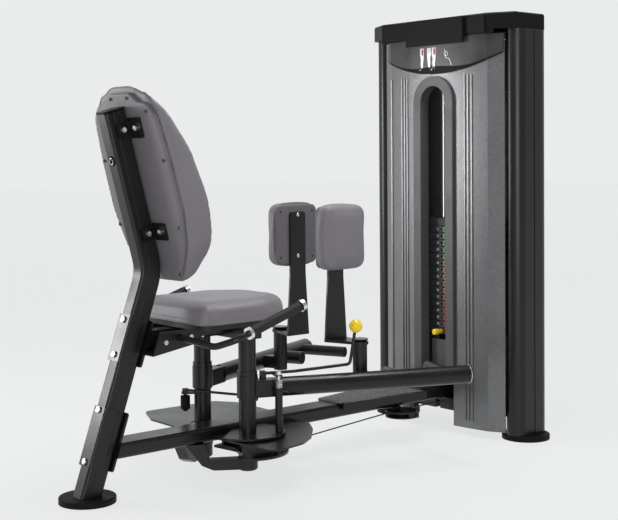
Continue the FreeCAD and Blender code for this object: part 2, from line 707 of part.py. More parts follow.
# ---------------------------------------------------------------- arms
def arm_body():
    hub = pipe((0, 0, HUB_Z0), (0, 0, HUB_Z1), HUB_R, SHAFT_R + RUN_FIT)
    web = box(20, ARM_START, -27, 27, ARM_Z - 30, ARM_Z + 30)
    web = web.makeFillet(5.0, edges_near(web, lambda c: abs(c.y) > 26.9 and abs(c.z - ARM_Z) > 29.9))
    tube = pipe((ARM_START, 0, ARM_Z), (ARM_END - 10, 0, ARM_Z), ARM_R, ARM_R - 3.5)
    weld_ring = rod((ARM_START - 4, 0, ARM_Z), (ARM_START + 4, 0, ARM_Z), ARM_R)
    end_cap = rod((ARM_END - 12, 0, ARM_Z), (ARM_END, 0, ARM_Z), ARM_R)
    end_cap = end_cap.makeFillet(5.0, edges_near(end_cap, lambda c: c.x > ARM_END - 0.1))
    stub = upright_rod(STUB_S, STUB_O, 285.0, COLLAR_Z0 - 0.4, STUB_R)
    journal = upright_rod(STUB_S, STUB_O, COLLAR_Z0 - 1, COLLAR_Z1 + 0.6, JOURNAL_R)
    flare = Part.makeCone(26.0, 31.0, 10.0, Vector(STUB_S, STUB_O, COLLAR_Z1 + 0.4))
    saddle = box(STUB_S - 22, STUB_S + 22, 20, STUB_O, 290.0, 336.0)
    body = hub.fuse(web).fuse(weld_ring).fuse(tube).fuse(end_cap).fuse(stub)
    body = body.fuse(journal).fuse(flare).fuse(saddle)
    inside = rod((ARM_START + 6, 0, ARM_Z), (ARM_END - 12, 0, ARM_Z), ARM_R - 3.5)
    bore = upright_rod(0, 0, HUB_Z0 - 1, HUB_Z1 + 1, SHAFT_R + RUN_FIT)
    return body.cut(inside).cut(bore).removeSplitter()


def foot_pegs():
    tube = rod((ARM_START, 0, ARM_Z), (ARM_END, 0, ARM_Z), ARM_R + 0.05)
    pegs = []
    for s, radius, length in PEGS:
        peg = rod((s, 5, ARM_Z), (s, length, ARM_Z), radius)
        peg = peg.makeFillet(5.0, edges_near(peg, lambda c: c.y > length - 0.1))
        peg = peg.cut(tube)
        pegs.append(max(peg.Solids, key=lambda solid: solid.Volume))
    return pegs


def lever_ears():
    ear = box(LEVER_PIVOT_S - 9, LEVER_PIVOT_S + 9, 8.0, 12.0, ARM_Z + 29, LEVER_PIVOT_Z + 9)
    pin = rod((LEVER_PIVOT_S, -12, LEVER_PIVOT_Z), (LEVER_PIVOT_S, 12, LEVER_PIVOT_Z), 3.0)
    return ear.fuse(mirrored(ear)).fuse(pin)


bare_arm = arm_body()
right_arm = bare_arm.fuse(lever_ears())
save("right_arm", on_right_arm(right_arm))
save("left_arm", mirrored(on_right_arm(bare_arm)))
pegs = [on_right_arm(peg) for peg in foot_pegs()]
save("right_foot_pegs", *pegs)
save("left_foot_pegs", *[mirrored(peg) for peg in pegs])


# ---------------------------------------------------------------- start-position plunger and lever
def plunger_guide():
    z_plate = 300.0
    guide = upright_rod(PLUNGER_S, PLUNGER_O, INDEX_Z0 + INDEX_T + 0.6, z_plate, 13.0)
    top = upright_rod(PLUNGER_S, PLUNGER_O, z_plate, 316.0, 15.0)
    collar = upright_rod(PLUNGER_S, PLUNGER_O, 316.0, 346.0, 11.0)
    wing = box(PLUNGER_S - 16, PLUNGER_S + 16, PLUNGER_O, -27.05, z_plate, 312.0)
    hook = bent_rod([(PLUNGER_S + 12, PLUNGER_O - 4, 306), (PLUNGER_S + 34, PLUNGER_O - 10, 300),
                     (PLUNGER_S + 44, PLUNGER_O - 12, 318)], [8.0], 2.5)
    body = guide.fuse(top).fuse(collar).fuse(wing).fuse(hook)
    body = body.cut(rod((ARM_START, 0, ARM_Z), (ARM_END, 0, ARM_Z), ARM_R + 0.1))
    body = max(body.Solids, key=lambda solid: solid.Volume)
    return body.cut(upright_rod(PLUNGER_S, PLUNGER_O, 150, 400, PLUNGER_PIN_R + RUN_FIT))


def plunger_pin():
    pin = upright_rod(PLUNGER_S, PLUNGER_O, INDEX_Z0 + INDEX_T + 0.4, 352.0, PLUNGER_PIN_R)
    neck = upright_rod(PLUNGER_S, PLUNGER_O, 352.0, 366.0, 4.0)
    head = upright_rod(PLUNGER_S, PLUNGER_O, 364.0, 372.0, 10.0)
    head = head.makeFillet(2.0, edges_near(head, lambda c: c.z > 371.9))
    return pin.fuse(neck).fuse(head)


def release_lever():
    rise = 376.0
    rod_line = bent_rod(
        [
            (LEVER_PIVOT_S, 0, LEVER_PIVOT_Z), (170.0, 0, LEVER_PIVOT_Z + 1),
            (372.0, 0, rise), (392.0, 0, 492.0),
        ],
        [120.0, 14.0], LEVER_ROD_R)
    boss = rod((LEVER_PIVOT_S, -7.4, LEVER_PIVOT_Z), (LEVER_PIVOT_S, 7.4, LEVER_PIVOT_Z), 9.0)
    tab = box(PLUNGER_S - 11, PLUNGER_S + 11, PLUNGER_O - 11, 0, 356.0, 361.0)
    fork = box(PLUNGER_S - 6.5, PLUNGER_S + 6.5, PLUNGER_O - 12, PLUNGER_O + 6.5, 350.0, 366.0)
    lever = rod_line.fuse(boss).fuse(tab.cut(fork))
    return lever.cut(rod((LEVER_PIVOT_S, -12, LEVER_PIVOT_Z), (LEVER_PIVOT_S, 12, LEVER_PIVOT_Z), 3.05))


save("plunger_guide", on_right_arm(plunger_guide()))
save("plunger_pin", on_right_arm(plunger_pin()))
lever = release_lever()
save("release_lever", on_right_arm(lever))
ball = Part.makeSphere(BALL_R, Vector(395.0, 0, 508.0)).cut(lever)
save("lever_ball", on_right_arm(max(ball.Solids, key=lambda solid: solid.Volume)))


# ---------------------------------------------------------------- thigh pads, drawn for the right side
def stub_centre():
    spread = math.radians(ARM_SPREAD)
    x = PIVOT_X + STUB_S * math.cos(spread) + STUB_O * math.sin(spread)
    y = -PIVOT_Y - STUB_S * math.sin(spread) + STUB_O * math.cos(spread)
    return x, y


def pad_plate():
    x, y = stub_centre()
    collar = upright_rod(x, y, COLLAR_Z0, COLLAR_Z1, 31.0)
    foot_outline = [
        (x - 26, y, 0), (x + 26, y, 0),
        (PAD_X + 52, -PAD_PLATE_Y, 0), (PAD_X - 52, -PAD_PLATE_Y, 0),
    ]
    foot = plate(foot_outline, COLLAR_Z0, COLLAR_Z1 - COLLAR_Z0)
    outline = [
        (-52, COLLAR_Z0, 6), (52, COLLAR_Z0, 6), (37, 665, 60),
        (37, 896, 12), (-37, 896, 12), (-37, 665, 60),
    ]
    blade = plate(outline, 0.0, PAD_PLATE_T)
    blade.rotate(Vector(0, 0, 0), Vector(1, 0, 0), 90)
    blade.translate(Vector(PAD_X, -PAD_PLATE_Y, 0))
    body = collar.fuse(foot).fuse(blade)
    return body.cut(upright_rod(x, y, COLLAR_Z0 - 1, COLLAR_Z1 + 1, JOURNAL_R + RUN_FIT)).removeSplitter()


def pad_slab(shrink, near, far, radius):
    corners = rectangle(-PAD_HALF_X + shrink, PAD_HALF_X - shrink, PAD_Z0 + shrink, PAD_Z1 - shrink, radius)
    slab = plate(corners, 0, far - near)
    slab.rotate(Vector(0, 0, 0), Vector(1, 0, 0), 90)
    slab.translate(Vector(PAD_X, -near, 0))
    return slab


plate_face = PAD_PLATE_Y + PAD_PLATE_T
board_out = plate_face + PAD_BOARD_T
cushion_out = board_out + PAD_THICK
pad_arm = pad_plate()
pad_board = pad_slab(6.0, plate_face, board_out, 24.0)
pad_cushion = pad_slab(0.0, board_out, cushion_out, 30.0)
pad_cushion = pad_cushion.makeFillet(18.0, edges_near(pad_cushion, lambda c: c.y < -cushion_out + 0.1))
for name, shape in (("pad_plate", pad_arm), ("pad_board", pad_board), ("pad_cushion", pad_cushion)):
    save("right_" + name, shape)
    save("left_" + name, mirrored(shape))


# ---------------------------------------------------------------- tower structure
def racetrack(x, y, half_x, half_y, z0, z1, groove):
    r = half_y - 0.5
    body = rounded_box(x - half_x, x + half_x, y - half_y, y + half_y, z0, z1, r)
    if groove > 0:
        side = 1 if y > 0 else -1
        edge = y + side * half_y
        floor = edge - side * groove
        slot = box(x - 6, x + 6, min(edge, floor), max(edge, floor), z0 - 1, z1 + 1)
        body = body.cut(slot)
    return body


upright_rows = [TOWER_Y - TOWER_HALF_Y, TOWER_Y + TOWER_HALF_Y]
uprights = []
for row in upright_rows:
    tube = racetrack(TOWER_X, row, 91.0, 43.0, FOOT_H, UPRIGHT_TOP, 2.0)
    core = racetrack(TOWER_X, row, 87.0, 39.0, FOOT_H + 1, UPRIGHT_TOP + 1, 0.0)
    uprights.append(tube.cut(core))
save("tower_uprights", *uprights)

span_y0 = upright_rows[0] + 43.0
span_y1 = upright_rows[1] - 43.0
base = box(1620.0, 1838.0, span_y0, span_y1, BASE_Z0, BEAM_Z0)
for y0, y1 in ((span_y0 - 1, STACK_Y - 60.0), (STACK_Y + 60.0, span_y1 + 1)):
    base = base.cut(box(1624.0, 1834.0, y0, y1, BASE_Z0 + 4, BEAM_Z0 - 4))
for y0, y1 in ((span_y0 - 1, SHEET_Y - 238.0), (SHEET_Y + 238.0, span_y1 + 1)):
    base = base.cut(box(1610.0, 1658.0, y0, y1, BASE_Z0 - 1, BEAM_Z0 + 1))
base = base.cut(box(1700, 1822, STACK_Y - 20, STACK_Y + 20, BASE_Z0 - 1, BEAM_Z0 + 1))
base = base.cut(box(1615, 1705, STACK_Y - 12, STACK_Y + 12, BASE_Z0 - 1, BEAM_Z0 - 14))
beam_stop = box(BEAM_END_X + 0.2, BEAM_END_X + 8, -70, 70, BEAM_Z0 - 1, BEAM_Z1 + 6)
top_bar = box(1680.0, 1790.0, span_y0, span_y1, TOP_BAR_Z0, TOP_BAR_Z0 + 10.0)
save("tower_cross_members", base.fuse(beam_stop), top_bar)


def bowed_sheet(front, z0, z1, half, turn, thick, middle):
    """Sheet with a slightly bowed front; turn adds the slanted returns at both ends."""
    bow = SHEET_BOW * (half / SHEET_HALF) ** 2
    a = Vector(front + bow, middle + half, 0)
    m = Vector(front, middle, 0)
    b = Vector(front + bow, middle - half, 0)
    step = Vector(thick, 0, 0)
    edges = [Part.Arc(a, m, b).toShape()]
    last = b
    if turn:
        last = Vector(front + RETURN_DEEP, middle - RETURN_REACH, 0)
        edges.append(Part.LineSegment(b, last).toShape())
    edges.append(Part.LineSegment(last, last + step).toShape())
    if turn:
        edges.append(Part.LineSegment(last + step, b + step).toShape())
    edges.append(Part.Arc(b + step, m + step, a + step).toShape())
    first = a
    if turn:
        first = Vector(front + RETURN_DEEP, middle + RETURN_REACH, 0)
        edges.append(Part.LineSegment(a + step, first + step).toShape())
    edges.append(Part.LineSegment(first + step, first).toShape())
    if turn:
        edges.append(Part.LineSegment(first, a).toShape())
    solid = Part.Face(Part.Wire(edges)).extrude(Vector(0, 0, z1 - z0))
    solid.translate(Vector(0, 0, z0))
    return solid


def arch(half, top_centre, bottom, x0, x1):
    """Upright prism with a round top, standing across the front of the tower."""
    legs = box(x0, x1, SLOT_Y - half, SLOT_Y + half, bottom, top_centre)
    return legs.fuse(rod((x0, SLOT_Y, top_centre), (x1, SLOT_Y, top_centre), half))


front = bowed_sheet(SHROUD_FRONT, 30.0, HEADER_Z0 - 0.5, SHEET_HALF, True, SHROUD_T, SHEET_Y)
front = front.cut(arch(SLOT_HALF, SLOT_TOP, SLOT_BOTTOM, 1570, 1700))
front = front.cut(box(1570, 1700, -116, 100, 0, 196))
save("front_shroud", front)

rear = bowed_sheet(SHROUD_FRONT, 60.0, HEADER_Z0 - 0.5, 326.0, False, SHROUD_T, TOWER_Y)
rear = rear.mirror(Vector((SHROUD_FRONT + TOWER_BACK_X) / 2.0, 0, 0), Vector(1, 0, 0))
save("rear_shroud", rear)

face_x0 = SHROUD_FRONT - 10.0
face_x1 = SHROUD_FRONT - 0.4
lining_x1 = STACK_X0 - 8.0
ring_outer = arch(RING_HALF, SLOT_TOP, SLOT_BOTTOM - 30, face_x0, face_x1)
flat_ring = ring_outer.cut(arch(LINING_HALF, SLOT_TOP, SLOT_BOTTOM + 6, 1570, 1700))
lining = arch(SLOT_HALF - 0.4, SLOT_TOP, SLOT_BOTTOM + 0.4, face_x1 - 1, lining_x1)
lining = lining.cut(arch(LINING_HALF, SLOT_TOP, SLOT_BOTTOM + 6, 1570, 1700))
trim = flat_ring.fuse(lining).removeSplitter()
upper_half = trim.common(box(1500, 1700, -300, 300, RING_JOINT_Z + 0.3, 1600))
lower_half = trim.common(box(1500, 1700, -300, 300, 0, RING_JOINT_Z - 0.3))
save("slot_trim", upper_half, lower_half)


def vertical_strip(y, wide, deep, z0, z1):
    """Strip standing on the outer face of the front shroud."""
    x = SHROUD_FRONT + SHEET_BOW * ((y - SHEET_Y) / SHEET_HALF) ** 2
    piece = box(x - deep, x + 12, y - wide / 2.0, y + wide / 2.0, z0, z1).cut(front)
    return max(piece.Solids, key=lambda solid: -solid.BoundBox.XMin)


strips = [vertical_strip(240.0, 8.0, 4.0, 60.0, 1420.0)]
for offset in (157.0, 173.0, 190.0):
    for side in (-1, 1):
        strips.append(vertical_strip(SHEET_Y + side * offset, 5.0, 4.0, 60.0, 1420.0))
save("shroud_strips", *strips)

placard = bowed_sheet(SHROUD_FRONT - 5.4, 1400.0, HEADER_Z0 - 0.5, SHEET_HALF, True, 3.0, SHEET_Y)
placard_r = 710.0
placard = placard.common(rod((1500, -35, 1429.0 + placard_r), (1700, -35, 1429.0 + placard_r), placard_r))
placard = placard.common(box(1500, 1700, -342, 270, 1400, 1600))
placard = placard.cut(box(1500, 1700, -185.6, 126.6, 1544.5, 1600))
save("exercise_placard", placard)

HEADER_PLAN = [
    (1604.0, -292.0, 12), (1655.0, -392.0, 12), (1832.0, -392.0, 12), (1862.0, -335.0, 12),
    (1862.0, 325.0, 12), (1832.0, 382.0, 12), (1655.0, 382.0, 12), (1604.0, 282.0, 12),
]
cap_outer = plate(HEADER_PLAN, HEADER_Z0, TOP_Z - HEADER_Z0)
cap_outer = cap_outer.makeChamfer(5.0, edges_near(cap_outer, lambda c: c.z > TOP_Z - 0.1))
cap_hollow = rounded_box(1612.0, 1856.0, span_y0 - 2, span_y1 + 2, HEADER_Z0 - 1, TOP_Z - 10, 20.0)
cap = cap_outer.cut(cap_hollow)
for y0, y1 in ((-420.0, span_y0 + 2), (span_y1 - 2, 420.0)):
    cap = cap.cut(box(1590, 1900, y0, y1, HEADER_Z0 - 1, UPRIGHT_TOP + 0.4))
save("header_cap", cap)
front_panel = rounded_box(1598.2, 1603.6, -286.0, 276.0, HEADER_Z0 + 4, TOP_Z - 12, 1.0)
name_plate = rounded_box(1584.0, 1593.8, -185.0, 126.0, 1545.0, TOP_Z - 4, 3.0)
plate_block = rounded_box(1593.8, 1598.2, -180.0, 121.0, HEADER_Z0 + 6, TOP_Z - 14, 1.0)
save("header_panels", front_panel, name_plate.fuse(plate_block))

# ---------------------------------------------------------------- weight stack and guides
def at_stack(shape):
    """Stack parts are drawn about y = 0 and moved to the stack's own line."""
    moved = shape.copy()
    moved.translate(Vector(0, STACK_Y, 0))
    return moved


stack_top = STACK_Z0 + PLATES * PLATE_PITCH
top_plate_z1 = stack_top + TOP_PLATE_T
rod_holes = []
for side in (-1, 1):
    rod_holes.append(upright_rod(STACK_X, side * GUIDE_Y, 300, 1000, GUIDE_R + RUN_FIT))
centre_hole = upright_rod(STACK_X, 0, 300, 1000, SELECTOR_R + RUN_FIT)


def stack_block(z0, z1):
    return rounded_box(STACK_X0, STACK_X0 + STACK_DEEP, -STACK_HALF_Y, STACK_HALF_Y, z0, z1, 6.0)


plates = []
labels = []
for i in range(PLATES):
    z = STACK_Z0 + i * PLATE_PITCH
    block = stack_block(z, z + PLATE_T)
    for hole in rod_holes + [centre_hole]:
        block = block.cut(hole)
    pin_hole = rod((STACK_X0 - 1, 0, z + PLATE_T / 2), (STACK_X, 0, z + PLATE_T / 2), PIN_R + 0.8)
    plates.append(at_stack(block.cut(pin_hole)))
    labels.append(at_stack(box(STACK_X0 - 1.0, STACK_X0 - 0.1, -33.0, -9.0, z + 2.0, z + PLATE_T - 2.0)))
save("weight_plates", *plates)
save("weight_labels", *labels)

top_block = stack_block(stack_top, top_plate_z1)
for hole in rod_holes:
    top_block = top_block.cut(hole)
neck = upright_rod(STACK_X, 0, top_plate_z1 - 1, top_plate_z1 + 28, 14.0)
selector = upright_rod(STACK_X, 0, STACK_Z0 + 3, stack_top + 5, SELECTOR_R)
top_block = top_block.fuse(neck).fuse(selector)
pin_z = STACK_Z0 + PLATE_T / 2
for i in range(PLATES):
    z = pin_z + i * PLATE_PITCH
    top_block = top_block.cut(rod((STACK_X - 40, 0, z), (STACK_X + 40, 0, z), PIN_R + 0.8))
save("top_plate", at_stack(top_block))

pin_shank = rod((STACK_X0 - 30, 0, pin_z), (STACK_X + 8, 0, pin_z), PIN_R)
pin_collar = rod((STACK_X0 - 20, 0, pin_z), (STACK_X0 - 4, 0, pin_z), 9.0)
pin_knob = rod((STACK_X0 - 48, 0, pin_z), (STACK_X0 - 24, 0, pin_z), 12.0)
pin_knob = pin_knob.makeFillet(5.0, pin_knob.Edges[0:1] + pin_knob.Edges[2:3])
save("selector_pin", at_stack(pin_shank.fuse(pin_collar).fuse(pin_knob)))

guides = []
risers = []
for side in (-1, 1):
    guides.append(at_stack(upright_rod(STACK_X, side * GUIDE_Y, BEAM_Z0 + 0.2, TOP_BAR_Z0 - 0.2, GUIDE_R)))
    riser = upright_rod(STACK_X, side * GUIDE_Y, BEAM_Z0 + 0.2, STACK_Z0 - 0.5, 20.0)
    risers.append(at_stack(riser.cut(upright_rod(STACK_X, side * GUIDE_Y, 100, 500, GUIDE_R + 0.3))))
save("guide_rods", *guides)
save("stack_risers", *risers)
save("slot_foot_plate", rounded_box(1639.0, 1643.0, -75.0, 34.0, 215.0, 360.0, 1.0))

# ---------------------------------------------------------------- pulleys and cable
head_x = STACK_X + HEAD_PULLEY_R
rear_x = head_x + HEAD_PULLEY_R
base_x = rear_x - BASE_PULLEY_R
base_z = CABLE_Z + BASE_PULLEY_R


def grooved(radius, thickness, bore):
    """Pulley about Z, centred on the origin; the cable's centre line lies on radius."""
    body = rod((0, 0, -thickness / 2), (0, 0, thickness / 2), radius + 6.0)
    groove = rod((0, 0, -4.2), (0, 0, 4.2), radius + 7.0)
    groove = groove.cut(rod((0, 0, -4.2), (0, 0, 4.2), radius - CABLE_R - 0.4))
    return body.cut(groove).cut(rod((0, 0, -thickness), (0, 0, thickness), bore + RUN_FIT))


def standing(shape, x, z):
    placed = shape.copy()
    placed.rotate(Vector(0, 0, 0), Vector(1, 0, 0), 90)
    placed.translate(Vector(x, STACK_Y, z))
    return placed


save("head_pulley", standing(grooved(HEAD_PULLEY_R, PULLEY_T, 8.0), head_x, HEAD_PULLEY_Z))
save("base_pulley", standing(grooved(BASE_PULLEY_R, PULLEY_T, 8.0), base_x, base_z))
idler = grooved(IDLER_R, 12.0, 8.0)
idler.translate(Vector(IDLER_X, IDLER_Y, CABLE_Z))
save("idler_pulley", idler)

head_mount = rod((head_x, -18, HEAD_PULLEY_Z), (head_x, 18, HEAD_PULLEY_Z), 8.0)
base_mount = rod((base_x, -18, base_z), (base_x, 18, base_z), 8.0)
for side in (-1, 1):
    inner = min(side * 13, side * 18)
    outer = max(side * 13, side * 18)
    cheek = box(head_x - 18, head_x + 18, inner, outer, HEAD_PULLEY_Z - 18, TOP_BAR_Z0 - 0.2)
    head_mount = head_mount.fuse(cheek)
    base_mount = base_mount.fuse(box(base_x - 18, base_x + 18, inner, outer, BASE_Z0 + 20, base_z + 18))
    tab = box(base_x - 18, base_x + 18, min(side * 17, side * 19.9), max(side * 17, side * 19.9), 105, 117)
    base_mount = base_mount.fuse(tab)
idler_mount = upright_rod(IDLER_X, IDLER_Y, CABLE_Z - 12, CABLE_Z + 12, 8.0)
for z in (CABLE_Z - 12, CABLE_Z + 8):
    idler_mount = idler_mount.fuse(upright_rod(IDLER_X, IDLER_Y, z, z + 4, 62.0))
idler_stay = box(IDLER_X - 15, IDLER_X + 15, IDLER_Y - 59, IDLER_Y - 53, CABLE_Z - 12, CABLE_Z + 12)
idler_block = box(IDLER_X - 22, IDLER_X + 22, -54.0, -28.0, CABLE_Z + 12, BEAM_Z0 - 0.2)
idler_mount = idler_mount.fuse(idler_stay).fuse(idler_block)
beam_prop = box(1480, 1508, -16, 16, 60, BEAM_Z0 - 0.2)
mounts = [at_stack(head_mount.removeSplitter()), at_stack(base_mount.removeSplitter())]
save("pulley_mounts", *mounts, idler_mount.removeSplitter(), beam_prop)


def across(angle):
    """Unit vector a quarter turn to the left of a heading."""
    return Vector(-math.sin(angle), math.cos(angle), 0)


drum_centre = Vector(PIVOT_X, -PIVOT_Y, 0)
idler_centre = Vector(IDLER_X, IDLER_Y, 0)
base_point = Vector(base_x, STACK_Y, 0)
to_idler = idler_centre - drum_centre
to_base = base_point - idler_centre
heading_in = math.atan2(to_idler.y, to_idler.x) + math.asin((CABLE_DRUM_R + IDLER_R) / to_idler.Length)
heading_out = math.atan2(to_base.y, to_base.x) - math.asin(IDLER_R / to_base.Length)
leaving = drum_centre - across(heading_in) * CABLE_DRUM_R
bend_reach = IDLER_R / math.cos((heading_in - heading_out) / 2.0)
bend = idler_centre + across((heading_in + heading_out) / 2.0) * bend_reach
beam_points = [(leaving.x, leaving.y, DRUM_CABLE_Z), (bend.x, bend.y, CABLE_Z), (base_x, STACK_Y, CABLE_Z)]
beam_cable = bent_rod(beam_points, [IDLER_R], CABLE_R)
up = Vector(rear_x, STACK_Y, base_z)
over = Vector(rear_x, STACK_Y, HEAD_PULLEY_Z)
quarter = math.sqrt(0.5) * BASE_PULLEY_R
tower_path = Part.Wire([
    Part.Arc(Vector(base_x, STACK_Y, CABLE_Z),
             Vector(base_x + quarter, STACK_Y, base_z - quarter), up).toShape(),
    Part.LineSegment(up, over).toShape(),
    Part.Arc(over, Vector(head_x, STACK_Y, HEAD_PULLEY_Z + HEAD_PULLEY_R),
             Vector(STACK_X, STACK_Y, HEAD_PULLEY_Z)).toShape(),
])
section = Part.Wire(Part.makeCircle(CABLE_R, Vector(base_x, STACK_Y, CABLE_Z), Vector(1, 0, 0)))
tower_cable = tower_path.makePipeShell([section], True, False)
save("cable_run", beam_cable, tower_cable)
save("stack_cable", at_stack(upright_rod(STACK_X, 0, top_plate_z1 + 28.2, HEAD_PULLEY_Z, CABLE_R)))
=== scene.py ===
import json
import math

import bmesh
import bpy
import numpy as np
from mathutils import Matrix, Vector
from mathutils.bvhtree import BVHTree


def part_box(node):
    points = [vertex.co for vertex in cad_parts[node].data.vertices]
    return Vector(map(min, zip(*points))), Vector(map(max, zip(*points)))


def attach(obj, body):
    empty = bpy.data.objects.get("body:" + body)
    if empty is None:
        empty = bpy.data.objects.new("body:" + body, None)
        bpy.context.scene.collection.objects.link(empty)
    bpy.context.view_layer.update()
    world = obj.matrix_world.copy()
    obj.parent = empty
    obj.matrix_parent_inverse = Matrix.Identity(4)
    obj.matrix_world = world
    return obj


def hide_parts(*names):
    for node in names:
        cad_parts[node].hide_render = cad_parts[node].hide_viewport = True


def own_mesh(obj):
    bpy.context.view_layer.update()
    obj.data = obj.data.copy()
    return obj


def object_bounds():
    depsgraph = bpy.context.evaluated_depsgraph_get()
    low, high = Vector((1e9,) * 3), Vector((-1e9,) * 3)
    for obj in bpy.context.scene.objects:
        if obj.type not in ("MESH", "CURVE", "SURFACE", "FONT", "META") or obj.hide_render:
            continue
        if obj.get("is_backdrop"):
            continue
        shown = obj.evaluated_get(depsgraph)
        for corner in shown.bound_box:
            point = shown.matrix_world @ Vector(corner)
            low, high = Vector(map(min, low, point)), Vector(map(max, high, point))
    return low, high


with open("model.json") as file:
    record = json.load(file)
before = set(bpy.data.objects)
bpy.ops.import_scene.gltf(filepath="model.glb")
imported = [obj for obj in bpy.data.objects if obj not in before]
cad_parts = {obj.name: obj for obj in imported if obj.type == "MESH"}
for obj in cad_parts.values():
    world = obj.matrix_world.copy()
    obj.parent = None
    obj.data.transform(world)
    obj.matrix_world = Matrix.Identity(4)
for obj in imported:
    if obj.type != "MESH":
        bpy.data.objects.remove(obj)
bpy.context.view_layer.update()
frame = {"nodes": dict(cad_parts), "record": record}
ARM_SPREAD = math.radians(23.0)
FORWARD = Vector((1, 0, 0))
FAR_BEHIND = -3.0

# ------------------------------------------------------------------ materials
class Graph:
    """Small builder for a procedural material; places come from the piece's own coordinates."""

    def __init__(self, name, colour, rough, metal=0.0, specular=0.5):
        self.material = bpy.data.materials.new(name)
        self.material.use_nodes = True
        self.tree = self.material.node_tree
        self.shader = self.tree.nodes["Principled BSDF"]
        self.place = self.tree.nodes.new("ShaderNodeTexCoord").outputs["Object"]
        self.set("Base Color", (*colour, 1.0))
        self.set("Roughness", rough)
        self.set("Metallic", metal)
        self.set("Specular IOR Level", specular)
        self.colour = colour
        self.rough = rough

    def set(self, socket, value):
        self.shader.inputs[socket].default_value = value

    def node(self, kind, inputs=(), **settings):
        made = self.tree.nodes.new(kind)
        for key, value in settings.items():
            setattr(made, key, value)
        for key, value in dict(inputs).items():
            if isinstance(value, bpy.types.NodeSocket):
                self.tree.links.new(value, made.inputs[key])
            else:
                made.inputs[key].default_value = value
        return made

    def stretched(self, x, y, z):
        return self.node("ShaderNodeMapping", {"Vector": self.place, "Scale": (x, y, z)}).outputs[0]

    def noise(self, scale, detail=4.0, place=None):
        inputs = {"Vector": place or self.place, "Scale": scale, "Detail": detail}
        return self.node("ShaderNodeTexNoise", inputs).outputs[0]

    def cells(self, scale, feature="F1", place=None):
        inputs = {"Vector": place or self.place, "Scale": scale}
        return self.node("ShaderNodeTexVoronoi", inputs, feature=feature).outputs["Distance"]

    def remap(self, value, low, high, to_low, to_high):
        inputs = {0: value, 1: low, 2: high, 3: to_low, 4: to_high}
        return self.node("ShaderNodeMapRange", inputs).outputs[0]

    def math(self, operation, a, b):
        return self.node("ShaderNodeMath", {0: a, 1: b}, operation=operation).outputs[0]

    def blend(self, factor, a, b):
        made = self.node("ShaderNodeMix", data_type="RGBA")
        self.tree.links.new(factor, made.inputs[0])
        for index, value in ((6, a), (7, b)):
            if isinstance(value, bpy.types.NodeSocket):
                self.tree.links.new(value, made.inputs[index])
            else:
                made.inputs[index].default_value = (*value, 1.0)
        return made.outputs[2]

    def paint(self, value):
        self.tree.links.new(value, self.shader.inputs["Base Color"])

    def roughen(self, value):
        self.tree.links.new(value, self.shader.inputs["Roughness"])

    def bump(self, height, strength, distance, onto=None):
        inputs = {"Height": height, "Strength": strength, "Distance": distance}
        if onto is not None:
            inputs["Normal"] = onto
        normal = self.node("ShaderNodeBump", inputs).outputs[0]
        self.tree.links.new(normal, self.shader.inputs["Normal"])
        return normal


def shade(colour, factor):
    return tuple(channel * factor for channel in colour)


def mottled(graph, scale, spread, rough_spread):
    """Slow change of tone and gloss over the surface, as handling and dust leave it."""
    slow = graph.noise(scale, 5.0)
    graph.paint(graph.blend(slow, shade(graph.colour, 1.0 - spread), shade(graph.colour, 1.0 + spread)))
    graph.roughen(graph.remap(slow, 0.3, 0.7, graph.rough - rough_spread, graph.rough + rough_spread))


def powder_coat(name, colour, rough, specular):
    graph = Graph(name, colour, rough, specular=specular)
    mottled(graph, 7.0, 0.25, 0.05)
    graph.bump(graph.noise(650.0, 2.0), 0.10, 0.0006, graph.bump(graph.noise(90.0, 2.0), 0.05, 0.001))
    return graph.material


def flake_paint():
    """Dark metallic lacquer with fine light flakes and an orange-peel surface."""
    graph = Graph("shroud_flake_paint", (0.09, 0.092, 0.096), 0.36, metal=0.75)
    flakes = graph.remap(graph.noise(1100.0, 2.0), 0.50, 0.66, 0.0, 1.0)
    coarse = graph.remap(graph.cells(520.0), 0.06, 0.28, 0.85, 0.0)
    both_sizes = graph.math("MAXIMUM", flakes, coarse)
    base = graph.blend(graph.noise(4.0, 3.0), (0.050, 0.051, 0.054), (0.085, 0.087, 0.091))
    graph.paint(graph.blend(both_sizes, base, (0.46, 0.46, 0.47)))
    graph.roughen(graph.remap(both_sizes, 0.0, 1.0, 0.40, 0.30))
    graph.bump(graph.noise(420.0, 2.0), 0.22, 0.0008)
    graph.set("Coat Weight", 0.35)
    graph.set("Coat Roughness", 0.22)
    return graph.material


def vinyl(name, colour, rough):
    """Embossed upholstery vinyl: pebbles with fine creases between them, faint handling marks."""
    graph = Graph(name, colour, rough, specular=0.42)
    mottled(graph, 6.0, 0.07, 0.05)
    pebbles = graph.cells(620.0, "SMOOTH_F1")
    creases = graph.noise(30.0, 6.0)
    soft = graph.bump(graph.noise(11.0, 3.0), 0.22, 0.006)
    soft = graph.bump(creases, 0.07, 0.002, soft)
    graph.bump(pebbles, 0.16, 0.0007, soft)
    graph.set("Sheen Weight", 0.12)
    graph.set("Sheen Roughness", 0.5)
    return graph.material


def moulded(name, colour, rough, specular=0.4, grain=520.0):
    graph = Graph(name, colour, rough, specular=specular)
    mottled(graph, 9.0, 0.14, 0.06)
    graph.bump(graph.noise(grain, 3.0), 0.18, 0.0005)
    return graph.material


def metal(name, colour, rough, streak=(60.0, 60.0, 900.0), wear=0.15):
    """Plated or brushed metal with fine streaks and slightly dulled patches."""
    graph = Graph(name, colour, rough, metal=1.0)
    mottled(graph, 35.0, wear, 0.05)
    graph.bump(graph.noise(1.0, 2.0, graph.stretched(*streak)), 0.08, 0.0003)
    return graph.material


